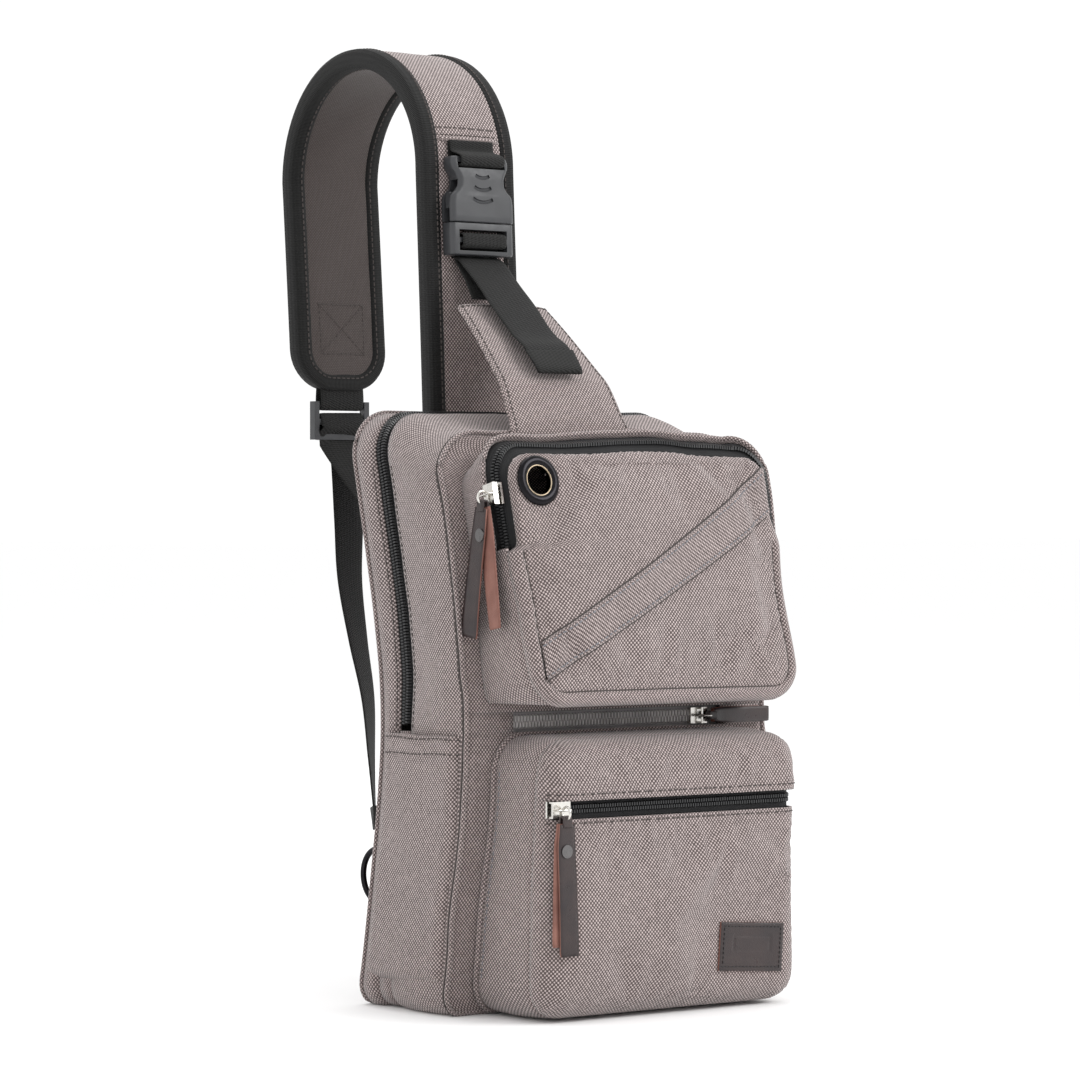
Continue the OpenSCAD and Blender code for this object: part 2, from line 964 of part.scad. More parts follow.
buckle_z = 450;
strap_lean = atan2(strap_front[0] - strap_foot[0], strap_front[1] - strap_foot[1]);
buckle_mid_y = strap_foot[0] + (buckle_z - strap_foot[1]) * tan(strap_lean);
buckle_half = 22.5;
buckle_front = -17;
buckle_back = -6;
mouth_z = -8;

module at_buckle() {
    translate([strap_x, buckle_mid_y, buckle_z])
        rotate([-strap_lean, 0, 0]) children();
}

module buckle_anchor() {
    color(webbing_c)
        at_buckle() translate([-webbing_w / 2, -5.6, 22]) cube([webbing_w, 1.5, 20]);
}

module buckle_female() {
    body_top = 30;
    cavity_top = 16;
    color(plastic_c)
        at_buckle()
            difference() {
                union() {
                    translate([-buckle_half, buckle_front, mouth_z])
                        cube([2 * buckle_half, buckle_back - buckle_front, body_top - 8 - mouth_z]);
                    translate([-buckle_half + 3, buckle_front + 2, body_top - 10])
                        cube([2 * buckle_half - 6, buckle_back - buckle_front - 2, 10]);
                    for (i = [0:2])
                        translate([0, buckle_front - 0.6, 26 - 9 * i])
                            rotate([-90, 0, 0])
                                intersection() {
                                    difference() {
                                        cylinder(h = 2, r = 16);
                                        translate([0, 0, -1]) cylinder(h = 4, r = 14.4);
                                    }
                                    translate([-9, 8, -1]) cube([18, 12, 4]);
                                }
                }
                // cavity for the guide and the prongs, open at the mouth
                translate([-17, buckle_front + 2.5, mouth_z - 1]) cube([34, 6, cavity_top - mouth_z + 1]);
                // side ways of the prong heads
                for (side = [-1, 1])
                    translate([side > 0 ? 16 : -30, buckle_front + 3, mouth_z - 1]) cube([14, 5, 20]);
                // slot of the anchor webbing
                translate([-17, buckle_front - 1, body_top - 7]) cube([34, 20, 3.4]);
            }
}

// frame with two slots for the webbing and the middle guide
module buckle_male() {
    color(plastic_c)
        at_buckle() {
            difference() {
                translate([-buckle_half, buckle_front + 1, mouth_z - 19])
                    cube([2 * buckle_half, buckle_back - buckle_front - 2, 18.7]);
                for (z = [mouth_z - 16.5, mouth_z - 9])
                    translate([-17, buckle_front - 1, z]) cube([34, 20, 4.6]);
            }
            translate([-3.5, buckle_front + 3.5, mouth_z - 1]) cube([7, 4, 22]);
        }
}

prong_x = 10;
prong_z = mouth_z + 0.6;
module prong(side) {
    at_buckle()
        mirror([side < 0 ? 1 : 0, 0, 0])
            translate([0, buckle_front + 3.5, 0]) {
                translate([prong_x - 2, 0, prong_z + 0.2]) cube([4, 4, 17]);
                translate([prong_x + 1, 0, 0]) cube([10.5, 4, 9]);
            }
}

module prong_left() { color(plastic_c) prong(-1); }
module prong_right() { color(plastic_c) prong(1); }

// webbing between the buckle and the tab, and its free tail that lies on the tab
module buckle_webbing() {
    color(webbing_c) {
        ribbon([[31.8, 398], [47, 421.2]], strap_x, webbing_w, 1.5);
        ribbon([[42, 421.2], [25.5, 400.5], [5, 381], [-20, 357.5]], strap_x, webbing_w, 1.5);
    }
}

back_panel();
back_foam();
rear_gusset();
lower_gusset();
front_panel_lower();
rear_lining();
side_pocket_left();
side_pocket_right();
main_zip_tape_rear();
recess_zip_tape();
lower_pocket_front();
lower_pocket_top();
lower_pocket_gusset();
lower_zip_tape();
leather_patch();
strap_outer();
strap_foam();
strap_inner();
strap_binding();
strap_end_loop();
ladder_lock();
load_webbing();
adjuster_tail();
buckle_anchor();
buckle_female();
d_ring_tabs();
d_ring_right();
strap_hook();
d_ring_left();
main_slider();
main_pull_ring();
main_pull_leather();
main_pull_rivet();
recess_slider();
recess_pull_ring();
recess_pull_leather();
lower_slider();
lower_pull_ring();
lower_pull_leather();
lower_pull_rivet();
front_panel_upper();
front_gusset();
front_lining();
main_zip_tape_front();
tab();
upper_pocket_face();
upper_pocket_gusset();
upper_zip_tape();
diagonal_band();
grommet_front();
grommet_back();
upper_slider();
upper_pull_ring();
upper_pull_leather();
upper_pull_rivet();
buckle_male();
prong_left();
prong_right();
buckle_webbing();
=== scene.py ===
"""Canvas sling bag: cloth, webbing, zips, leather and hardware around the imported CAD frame."""

import math
from contextlib import contextmanager

import bmesh
import bpy
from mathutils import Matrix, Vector, noise
from mathutils.bvhtree import BVHTree


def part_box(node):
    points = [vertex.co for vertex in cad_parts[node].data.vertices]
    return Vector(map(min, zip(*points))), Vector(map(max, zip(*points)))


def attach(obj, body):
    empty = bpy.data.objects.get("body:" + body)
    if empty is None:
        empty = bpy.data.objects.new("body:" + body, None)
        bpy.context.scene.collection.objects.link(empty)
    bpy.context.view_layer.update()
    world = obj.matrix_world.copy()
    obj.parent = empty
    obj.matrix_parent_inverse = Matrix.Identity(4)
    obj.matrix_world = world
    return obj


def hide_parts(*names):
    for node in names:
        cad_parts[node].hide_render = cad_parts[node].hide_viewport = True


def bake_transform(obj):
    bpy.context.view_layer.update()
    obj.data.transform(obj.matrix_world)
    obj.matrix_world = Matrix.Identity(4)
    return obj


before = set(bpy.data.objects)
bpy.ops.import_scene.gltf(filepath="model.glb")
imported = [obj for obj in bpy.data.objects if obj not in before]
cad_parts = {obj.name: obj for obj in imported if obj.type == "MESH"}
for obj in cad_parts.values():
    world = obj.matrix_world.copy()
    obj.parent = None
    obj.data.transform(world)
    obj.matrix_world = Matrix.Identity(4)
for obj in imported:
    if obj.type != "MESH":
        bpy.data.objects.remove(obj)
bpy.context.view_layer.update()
MM = 0.001


def span(node):
    """Lowest and highest corner of a CAD node, in millimetres."""
    low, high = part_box(node)
    return Vector(low) / MM, Vector(high) / MM


# ---------- driving dimensions, in millimetres ----------

BACK_LOW, BACK_HIGH = span("back_panel")
BODY_W = BACK_HIGH.x - BACK_LOW.x
BODY_H = BACK_HIGH.z
CORNER_TOP = 28
CORNER_BOTTOM = 14
BOW_Z = 145
BOW_Y = 683
FRONT_Y = -56
BACK_Y = 22
ZIP_HALF = 5.5
ZIP_END_Z = 158
FOLD_LOW, FOLD_HIGH = 150, 190
ZIP_FOLD = 158
CLOTH, POCKET_CLOTH, TAPE_CLOTH = 1.6, 1.8, 0.5
COIL_PITCH = 1.7
SEAM_R = 1.5
PUFF_FRAMES, PUFF_LIMIT = 18, 4.5
POCKET_STEP = 3.2
SLOT_SHARE = 76 / 108
WEB_W, WEB_THICK = 32, 1.3
PATCH_X, PATCH_Z = 55, 34
RING_X, RING_Y, RING_Z = 97, 35, 72
RECESS_Z = 161
LEAN = math.radians(12.4)
UPPER_Y, UPPER_Z = -106, 172
UPPER_W, UPPER_H, UPPER_R = 192, 150, 20
UPPER_ZIP_Y = 12
UPPER_ZIP_END = 88
LOWER_LOW, LOWER_HIGH = span("lower_pocket_gusset")
LOWER_X = (LOWER_LOW.x + LOWER_HIGH.x) / 2
LOWER_W = LOWER_HIGH.x - LOWER_LOW.x
LOWER_FRONT = span("lower_pocket_front")[0].y
LOWER_Z0 = LOWER_LOW.z
LOWER_Z1 = span("lower_pocket_top")[1].z
LOWER_R = 18
LOWER_ZIP_Z = (span("lower_zip_tape")[0].z + span("lower_zip_tape")[1].z) / 2
STRAP_LOW, STRAP_HIGH = span("strap_binding")
STRAP_X = (STRAP_LOW.x + STRAP_HIGH.x) / 2
STRAP_W = STRAP_HIGH.x - STRAP_LOW.x
STRAP_FOOT = (52.5, 312)
STRAP_FRONT = (60, 474)
STRAP_R = 68
STRAP_END = (186, 350)
STRAP_LEAN = math.atan2(STRAP_FRONT[0] - STRAP_FOOT[0], STRAP_FRONT[1] - STRAP_FOOT[1])
WEAVE_PITCH = 1.08


def surf_y(y0, z):
    """The bowed front and back surfaces: arcs about one centre far behind the bag."""
    return BOW_Y - math.sqrt((BOW_Y - y0) ** 2 - (z - BOW_Z) ** 2)


# ---------- camera and lights ----------

CAMERA_AZIMUTH = math.radians(-37.96)
CAMERA_ELEVATION = math.radians(0.55)
CAMERA_DISTANCE = 2.352
CAMERA_AIM = Vector((0, 0, 0.25))
CAMERA_LENS = 137.6
CAMERA_SHIFT = (-0.0122, 0.017)
FLOOR_HALF = 40


def make_camera():
    data = bpy.data.cameras.new("camera")
    data.lens = CAMERA_LENS
    data.sensor_width = 36
    data.shift_x, data.shift_y = CAMERA_SHIFT
    camera = bpy.data.objects.new("camera", data)
    bpy.context.collection.objects.link(camera)
    back = Vector((
        math.sin(CAMERA_AZIMUTH) * math.cos(CAMERA_ELEVATION),
        -math.cos(CAMERA_AZIMUTH) * math.cos(CAMERA_ELEVATION),
        math.sin(CAMERA_ELEVATION),
    ))
    camera.location = CAMERA_AIM + back * CAMERA_DISTANCE
    camera.rotation_euler = (-back).to_track_quat("-Z", "Y").to_euler()
    bpy.context.scene.camera = camera


def area_light(name, place, aim, size, power):
    data = bpy.data.lights.new(name, "AREA")
    data.energy = power
    data.size = size
    light = bpy.data.objects.new(name, data)
    bpy.context.collection.objects.link(light)
    light.location = place
    light.rotation_euler = (Vector(aim) - Vector(place)).to_track_quat("-Z", "Y").to_euler()


def make_studio():
    """A white sweep lit by four soft area lights and a white world."""
    area_light("key_light", (1.1, -1.6, 1.5), (0, 0, 0.28), 1.1, 25)
    area_light("fill_light", (-2.0, -0.6, 0.9), (0, 0, 0.25), 1.6, 3)
    area_light("top_light", (0, 0.3, 2.0), (0, 0, 0.3), 1.2, 9)
    area_light("back_light", (0.6, 2.0, 1.0), (0, 0, 0.3), 1.5, 4)
    bpy.context.scene.view_settings.view_transform = "Standard"
    world = bpy.data.worlds.new("studio")
    world.use_nodes = True
    background = world.node_tree.nodes["Background"]
    background.inputs["Color"].default_value = (1, 1, 1, 1)
    background.inputs["Strength"].default_value = 1.04
    bpy.context.scene.world = world
    mesh = bpy.data.meshes.new("floor")
    corners = [(x * FLOOR_HALF, y * FLOOR_HALF, 0) for x, y in ((-1, -1), (1, -1), (1, 1), (-1, 1))]
    mesh.from_pydata(corners, [], [(0, 1, 2, 3)])
    floor = bpy.data.objects.new("floor", mesh)
    bpy.context.collection.objects.link(floor)
    floor.data.materials.append(plain("floor_white", (0.96, 0.96, 0.96), 0.9))


# ---------- material helpers ----------

def new_material(name):
    material = bpy.data.materials.new(name)
    material.use_nodes = True
    tree = material.node_tree
    return material, tree, tree.nodes["Principled BSDF"]


def plain(name, colour, roughness):
    material, _, shader = new_material(name)
    shader.inputs["Base Color"].default_value = (*colour, 1)
    shader.inputs["Roughness"].default_value = roughness
    return material


class Nodes:
    """Small helper that makes and links shader nodes."""

    def __init__(self, tree):
        self.tree = tree

    def make(self, kind, **settings):
        node = self.tree.nodes.new(kind)
        for key, value in settings.items():
            setattr(node, key, value)
        return node

    def link(self, a, b):
        self.tree.links.new(a, b)

    def put(self, socket, value):
        if hasattr(value, "is_output"):
            self.link(value, socket)
        else:
            socket.default_value = value

    def math(self, operation, a, b=0.0):
        node = self.make("ShaderNodeMath", operation=operation)
        for socket, value in zip(node.inputs, (a, b)):
            self.put(socket, value)
        return node.outputs[0]

    def uv(self):
        node = self.make("ShaderNodeTexCoord")
        split = self.make("ShaderNodeSeparateXYZ")
        self.link(node.outputs["UV"], split.inputs[0])
        return split.outputs["X"], split.outputs["Y"]

    def place(self):
        return self.make("ShaderNodeTexCoord").outputs["Object"]

    def noise(self, vector, scale, detail=3.0, roughness=0.5):
        node = self.make("ShaderNodeTexNoise")
        self.link(vector, node.inputs["Vector"])
        node.inputs["Scale"].default_value = scale
        node.inputs["Detail"].default_value = detail
        node.inputs["Roughness"].default_value = roughness
        return node.outputs["Fac"]

    def range(self, value, low, high, to_low=0.0, to_high=1.0):
        node = self.make("ShaderNodeMapRange")
        self.put(node.inputs["Value"], value)
        for key, number in (("From Min", low), ("From Max", high), ("To Min", to_low), ("To Max", to_high)):
            node.inputs[key].default_value = number
        return node.outputs["Result"]

    def mix(self, factor, a, b):
        node = self.make("ShaderNodeMix", data_type="RGBA")
        self.put(node.inputs["Factor"], factor)
        self.put(node.inputs[6], a)
        self.put(node.inputs[7], b)
        return node.outputs[2]

    def bump(self, height, strength, distance):
        node = self.make("ShaderNodeBump")
        self.link(height, node.inputs["Height"])
        node.inputs["Strength"].default_value = strength
        node.inputs["Distance"].default_value = distance
        return node.outputs["Normal"]


def rgba(r, g, b):
    return (r, g, b, 1)


def woven(name, ground, thread, pitch, contrast, roughness=0.9, sheen=0.25):
    """Basket weave, one UV unit to the centimetre: light thread crossings on a darker ground."""
    material, tree, shader = new_material(name)
    n = Nodes(tree)
    u, v = n.uv()
    place = n.place()
    turns = 2 * math.pi * 10 / pitch
    wobble = n.math("MULTIPLY", n.noise(place, 260, 2), 0.9)
    across = n.math("SINE", n.math("ADD", n.math("MULTIPLY", u, turns * 0.5), wobble))
    along = n.math("SINE", n.math("ADD", n.math("MULTIPLY", v, turns * 0.46), wobble))
    crossing = n.math("MULTIPLY", across, along)
    height = n.math("ABSOLUTE", crossing)
    slub = n.noise(place, 420, 3, 0.7)
    dots = n.range(n.math("ADD", crossing, n.math("MULTIPLY", slub, 0.9)), 0.38, 1.02)
    mottled = n.range(n.noise(place, 24, 4), 0.3, 0.7)
    worn = n.range(n.noise(place, 90, 3), 0.35, 0.75)
    darker = rgba(*(c * 0.86 for c in ground))
    base = n.mix(mottled, darker, rgba(*ground))
    light = n.mix(worn, rgba(*thread), rgba(*(min(1, c * 1.12) for c in thread)))
    colour = n.mix(n.math("MULTIPLY", dots, contrast), base, light)
    n.link(colour, shader.inputs["Base Color"])
    shader.inputs["Roughness"].default_value = roughness
    shader.inputs["Sheen Weight"].default_value = sheen
    shader.inputs["Sheen Roughness"].default_value = 0.5
    relief = n.math("ADD", height, n.math("MULTIPLY", n.noise(place, 700, 2), 0.5))
    n.link(n.bump(relief, 0.5, 0.0005), shader.inputs["Normal"])
    return material


def ribbed(name, colour, pitch, slant):
    """Tape or webbing: narrow ribs along U, slanted by `slant`, over a dark ground."""
    material, tree, shader = new_material(name)
    n = Nodes(tree)
    u, v = n.uv()
    place = n.place()
    turns = 2 * math.pi * 10 / pitch
    ribs = n.math("SINE", n.math("MULTIPLY", n.math("ADD", v, n.math("MULTIPLY", u, slant)), turns))
    cords = n.math("SINE", n.math("MULTIPLY", u, turns * 0.5))
    height = n.math("ADD", n.math("MULTIPLY", ribs, 0.7), n.math("MULTIPLY", cords, 0.3))
    shade = n.range(height, -1.0, 1.0)
    dusty = n.noise(place, 120, 4)
    dark = rgba(*(c * 0.55 for c in colour))
    light = rgba(*(c * 1.5 for c in colour))
    base = n.mix(n.math("MULTIPLY", shade, n.range(dusty, 0.2, 0.8, 0.6, 1.0)), dark, light)
    n.link(base, shader.inputs["Base Color"])
    shader.inputs["Roughness"].default_value = 0.75
    shader.inputs["Sheen Weight"].default_value = 0.03
    shader.inputs["Specular IOR Level"].default_value = 0.25
    n.link(n.bump(height, 0.6, 0.0004), shader.inputs["Normal"])
    return material


def leather(name, colour, dark, roughness):
    """Finished leather: fine cell grain, mottled colour and uneven gloss."""
    material, tree, shader = new_material(name)
    n = Nodes(tree)
    place = n.place()
    cells = n.make("ShaderNodeTexVoronoi", feature="DISTANCE_TO_EDGE")
    n.link(place, cells.inputs["Vector"])
    cells.inputs["Scale"].default_value = 900
    grain = n.range(cells.outputs["Distance"], 0.0, 0.25)
    cloudy = n.range(n.noise(place, 70, 4), 0.3, 0.7)
    n.link(n.mix(cloudy, rgba(*dark), rgba(*colour)), shader.inputs["Base Color"])
    gloss = n.range(n.noise(place, 160, 3), 0.3, 0.7, roughness - 0.08, roughness + 0.1)
    n.link(gloss, shader.inputs["Roughness"])
    shader.inputs["Specular IOR Level"].default_value = 0.5
    n.link(n.bump(grain, 0.35, 0.0002), shader.inputs["Normal"])
    return material


def metal(name, colour, roughness):
    """Plated metal with faint scratches and uneven polish."""
    material, tree, shader = new_material(name)
    n = Nodes(tree)
    place = n.place()
    shader.inputs["Metallic"].default_value = 1.0
    cloudy = n.noise(place, 300, 4, 0.6)
    n.link(n.range(cloudy, 0.3, 0.7, roughness * 0.7, roughness * 1.5), shader.inputs["Roughness"])
    dull = rgba(*(c * 0.8 for c in colour))
    n.link(n.mix(n.range(cloudy, 0.35, 0.7), dull, rgba(*colour)), shader.inputs["Base Color"])
    n.link(n.bump(n.noise(place, 900, 2), 0.08, 0.0001), shader.inputs["Normal"])
    return material


def moulded(name, colour, roughness):
    """Moulded plastic with a fine matte grain and lighter rubbed spots."""
    material, tree, shader = new_material(name)
    n = Nodes(tree)
    place = n.place()
    rubbed = n.range(n.noise(place, 60, 4), 0.4, 0.75)
    n.link(n.mix(rubbed, rgba(*colour), rgba(*(c * 1.25 for c in colour))), shader.inputs["Base Color"])
    gloss = n.range(n.noise(place, 200, 3), 0.3, 0.7, roughness - 0.06, roughness + 0.08)
    n.link(gloss, shader.inputs["Roughness"])
    n.link(n.bump(n.noise(place, 2200, 2), 0.15, 0.0001), shader.inputs["Normal"])
    return material


CANVAS = woven("canvas", (0.082, 0.060, 0.057), (0.53, 0.443, 0.43), WEAVE_PITCH, 0.97)
# Inner face of the strap: the same canvas as the outer face, with its weave colours darkened to paint the
# shade that this face lies in (painted shade).
STRAP_CLOTH_PAINTED_SHADE = woven("strap_cloth", (0.047, 0.035, 0.032), (0.082, 0.066, 0.061), 0.9, 0.8, sheen=0.2)
LINING = woven("lining_cloth", (0.07, 0.06, 0.055), (0.1, 0.09, 0.085), 0.6, 0.6, roughness=0.7)
FOAM = plain("foam", (0.7, 0.7, 0.67), 0.9)
WEBBING = ribbed("webbing", (0.013, 0.013, 0.0125), 1.3, 0.35)
BINDING = ribbed("binding", (0.011, 0.011, 0.0108), 1.0, 0.0)
TAPE = ribbed("zip_tape", (0.017, 0.017, 0.018), 0.7, 0.8)
COIL = moulded("zip_coil", (0.014, 0.014, 0.015), 0.35)
DUSTY_TAPE = ribbed("dusty_zip_tape", (0.30, 0.285, 0.285), 0.7, 0.8)
DUSTY_COIL = moulded("dusty_zip_coil", (0.46, 0.44, 0.43), 0.5)
LEATHER = leather("leather", (0.032, 0.019, 0.018), (0.016, 0.010, 0.011), 0.34)
RAW_EDGE = leather("leather_edge", (0.26, 0.12, 0.092), (0.17, 0.072, 0.055), 0.75)
NICKEL = metal("nickel", (0.74, 0.72, 0.68), 0.2)
GUNMETAL = metal("gunmetal", (0.020, 0.019, 0.021), 0.2)
STUD = metal("stud", (0.16, 0.155, 0.155), 0.25)
BRASSY = metal("worn_lip", (0.42, 0.34, 0.24), 0.3)
PLASTIC = moulded("plastic", (0.033, 0.034, 0.037), 0.4)
# Dark thread for stitches and seam lines. The same material also draws the painted shadow lines beside the
# raised band.
DARK_THREAD_AND_SHADOW = plain("dark_thread", (0.06, 0.05, 0.047), 0.8)
BLUE_THREAD = plain("blue_grey_thread", (0.17, 0.17, 0.185), 0.8)


# ---------- mesh helpers: everything is drawn in millimetres ----------

def link(name, mesh, material):
    piece = bpy.data.objects.new(name, mesh)
    bpy.context.collection.objects.link(piece)
    if material:
        mesh.materials.append(material)
    return piece


def shade_smooth(mesh):
    mesh.polygons.foreach_set("use_smooth", [True] * len(mesh.polygons))


def make_mesh(name, points, faces, material, uvs=None, smooth=True):
    """A mesh from millimetre points, with optional millimetre UVs (one UV unit is a centimetre)."""
    mesh = bpy.data.meshes.new(name)
    mesh.from_pydata([tuple(Vector(p) * MM) for p in points], [], faces)
    if uvs:
        layer = mesh.uv_layers.new(name="weave")
        for loop in mesh.loops:
            u, v = uvs[loop.vertex_index]
            layer.data[loop.index].uv = (u / 10, v / 10)
    if smooth:
        shade_smooth(mesh)
    return link(name, mesh, material)


def measured(points, columns, rows):
    """UVs that follow the real lengths along both directions of a grid, from its middle."""
    middle_i, middle_j = columns // 2, rows // 2
    across = [[0.0] * columns for _ in range(rows)]
    along = [[0.0] * columns for _ in range(rows)]

    def gap(i0, j0, i1, j1):
        return (Vector(points[j0 * columns + i0]) - Vector(points[j1 * columns + i1])).length

    for j in range(rows):
        for i in range(middle_i + 1, columns):
            across[j][i] = across[j][i - 1] + gap(i, j, i - 1, j)
        for i in range(middle_i - 1, -1, -1):
            across[j][i] = across[j][i + 1] - gap(i, j, i + 1, j)
    for i in range(columns):
        for j in range(middle_j + 1, rows):
            along[j][i] = along[j - 1][i] + gap(i, j, i, j - 1)
        for j in range(middle_j - 1, -1, -1):
            along[j][i] = along[j + 1][i] - gap(i, j, i, j + 1)
    return [(across[j][i] + 100, along[j][i] + 100) for j in range(rows) for i in range(columns)]


def grid(name, columns, rows, point, uv, material, closed=False):
    """A sheet of columns x rows points. Its UVs are measured where uv is None; closed joins its sides."""
    points = [point(i, j) for j in range(rows) for i in range(columns)]
    if uv:
        uvs = [uv(i, j) for j in range(rows) for i in range(columns)]
    else:
        uvs = measured(points, columns, rows)
    faces = []
    for j in range(rows - 1):
        for i in range(columns if closed else columns - 1):
            right = (i + 1) % columns
            faces.append((j * columns + i, j * columns + right,
                          (j + 1) * columns + right, (j + 1) * columns + i))
    return make_mesh(name, points, faces, material, uvs)


def apply_modifiers(piece):
    """Bakes a piece's modifiers into its mesh."""
    graph = bpy.context.evaluated_depsgraph_get()
    mesh = bpy.data.meshes.new_from_object(piece.evaluated_get(graph))
    piece.modifiers.clear()
    piece.data = mesh
    return piece


@contextmanager
def editing(piece):
    """The piece's mesh, open for bmesh work and written back afterwards."""
    mesh = bmesh.new()
    mesh.from_mesh(piece.data)
    yield mesh
    mesh.to_mesh(piece.data)
    mesh.free()


def recalc_normals(piece):
    """Turns every face of a closed piece outwards."""
    with editing(piece) as mesh:
        bmesh.ops.recalc_face_normals(mesh, faces=mesh.faces)


def copy_of(piece, name):
    twin = piece.copy()
    twin.data = piece.data.copy()
    twin.name = name
    bpy.context.collection.objects.link(twin)
    return twin


def thicken(piece, thickness, offset=-1.0, smooth_levels=0):
    """Gives a sheet its cloth thickness, in millimetres, inwards for offset -1."""
    solid = piece.modifiers.new("thickness", "SOLIDIFY")
    solid.thickness = thickness * MM
    solid.offset = offset
    solid.use_even_offset = False
    if smooth_levels:
        piece.modifiers.new("smooth", "SUBSURF").levels = smooth_levels
    return apply_modifiers(piece)


def join(name, pieces):
    """Joins pieces into one object that keeps every material."""
    bpy.ops.object.select_all(action="DESELECT")
    for piece in pieces:
        piece.select_set(True)
    bpy.context.view_layer.objects.active = pieces[0]
    bpy.ops.object.join()
    pieces[0].name = name
    pieces[0].data.name = name
    return pieces[0]


def outline(width, z0, z1, r_low, r_high, step=4.0):
    """Rounded rectangle, anticlockwise from the middle of the bottom: (x, z, nx, nz, distance)."""
    half = width / 2
    corners = [(half - r_low, z0 + r_low, r_low, -90), (half - r_high, z1 - r_high, r_high, 0),
               (-half + r_high, z1 - r_high, r_high, 90), (-half + r_low, z0 + r_low, r_low, 180)]
    path = [(0, z0, 0, -1)]
    for cx, cz, r, start in corners:
        turns = max(4, int(r * math.pi / 2 / step) + 2)
        for k in range(turns + 1):
            a = math.radians(start + 90 * k / turns)
            path.append((cx + r * math.cos(a), cz + r * math.sin(a), math.cos(a), math.sin(a)))
    path.append((0, z0, 0, -1))
    points, distance = [], 0.0
    for (x0, y0, nx0, ny0), (x1, y1, nx1, ny1) in zip(path, path[1:]):
        length = math.hypot(x1 - x0, y1 - y0)
        pieces = max(1, round(length / step))
        for k in range(pieces):
            t = k / pieces
            points.append((x0 + (x1 - x0) * t, y0 + (y1 - y0) * t, nx0 + (nx1 - nx0) * t,
                           ny0 + (ny1 - ny0) * t, distance + length * t))
        distance += length
    return points


def face_row(width, z0, z1, r_low, r_high, z):
    """Half width of a rounded rectangle at height z."""
    drop = 0.0
    if z < z0 + r_low:
        drop = r_low - math.sqrt(max(0.0, r_low ** 2 - (z0 + r_low - z) ** 2))
    if z > z1 - r_high:
        drop = r_high - math.sqrt(max(0.0, r_high ** 2 - (z - z1 + r_high) ** 2))
    return width / 2 - drop


def ease(low, high, value):
    """Smooth step from 0 at low to 1 at high."""
    t = min(1.0, max(0.0, (value - low) / (high - low)))
    return t * t * (3 - 2 * t)


CREASE_SEED = 7
noise.seed_set(CREASE_SEED)


def wrinkle(point, size, amount, seed):
    """A smooth, repeatable random push, in millimetres."""
    return noise.noise_vector(Vector(point) / size + Vector((seed, seed * 2, seed * 3))) * amount


def on_pocket(x, y, z):
    """A point given in the upper pocket's own leaning frame."""
    return Vector((x, UPPER_Y + y * math.cos(LEAN) + z * math.sin(LEAN),
                   UPPER_Z - y * math.sin(LEAN) + z * math.cos(LEAN)))


def full_pocket(x, y, z):
    """The upper pocket's frame with its filled-out right and top edges."""
    top = ease(136, 150, z)
    return on_pocket(x + 4.0 * ease(30, 88, x) * ease(40, 125, z), y, z + 3.0 * top)


GROMMET_X, GROMMET_Z = -73, 124
GROMMET = on_pocket(GROMMET_X, 0, GROMMET_Z)
STILL = [(GROMMET, 26), (on_pocket(-94, 12, 112), 22), (Vector((PATCH_X, -108, PATCH_Z)), 36),
         (Vector((106, 0, 172)), 26), (Vector((60, -54, 161)), 20)]


def calm(point):
    """0 beside hardware and the straight zip, 1 where cloth is free to give."""
    p = Vector(point)
    free = ease(0, 25, p.z)
    for centre, reach in STILL:
        free *= ease(reach * 0.6, reach * 1.7, (p - centre).length)
    free *= 1 - 0.85 * ease(-16, -2, p.y - surf_y(BACK_Y, p.z))
    free *= 1 - ease(-70, -92, p.y) * (1 - ease(7, 30, abs(p.z - LOWER_ZIP_Z)))
    free *= 1 - ease(-35, -52, p.y) * (1 - ease(8, 26, abs(p.z - 166)))
    free *= 1 - ease(85, 102, p.x) * (1 - ease(7, 20, abs(p.y - surf_y(0, p.z))))
    return free


def droop(p):
    """How far the front's top edge hangs down in front of the main zip, in millimetres."""
    ahead = surf_y(0, min(p.z, BODY_H)) - p.y
    near_top = ease(278, 326, p.z) * (1 - ease(334, 352, p.z))
    return 11 * ease(2, 48, ahead) * (1 - ease(56, 84, ahead)) * near_top


def slump(point):
    """How the soft body gives: waist pinch and small creases. It is continuous, so seams stay shut."""
    p = Vector(point)
    waist = math.exp(-((p.z - 165) / 75) ** 2)
    p.x += 5.5 * waist * ease(20, 108, -p.x)
    free = calm(point)
    p += wrinkle(point, 85, 3.2, 1) * free
    p += wrinkle(point, 30, 1.1, 5) * free
    p.z -= droop(Vector(point))
    return p


def lay_tube(name, path, radius, material, sides=8, closed=False, squash=1.0):
    """A round or flattened bead along millimetre points."""
    count = len(path)
    points, faces, uvs = [], [], []
    distance = 0.0
    for i, here in enumerate(path):
        here = Vector(here)
        before = Vector(path[(i - 1) % count]) if closed or i > 0 else here
        after = Vector(path[(i + 1) % count]) if closed or i < count - 1 else here
        tangent = (after - before).normalized()
        helper = Vector((0.13, 0.21, 1)) if abs(tangent.z) < 0.9 else Vector((0, 1, 0.1))
        side = tangent.cross(helper).normalized()
        up = side.cross(tangent).normalized()
        distance += (here - before).length
        for k in range(sides):
            a = 2 * math.pi * k / sides
            points.append(here + side * math.cos(a) * radius + up * math.sin(a) * radius * squash)
            uvs.append((k * 2 * math.pi * radius / sides, distance))
    loops = count if closed else count - 1
    for i in range(loops):
        after = (i + 1) % count
        for k in range(sides):
            l = (k + 1) % sides
            faces.append((i * sides + k, i * sides + l, after * sides + l, after * sides + k))
    if not closed:
        faces.append(tuple(reversed(range(sides))))
        faces.append(tuple((count - 1) * sides + k for k in range(sides)))
    return make_mesh(name, points, faces, material, uvs)


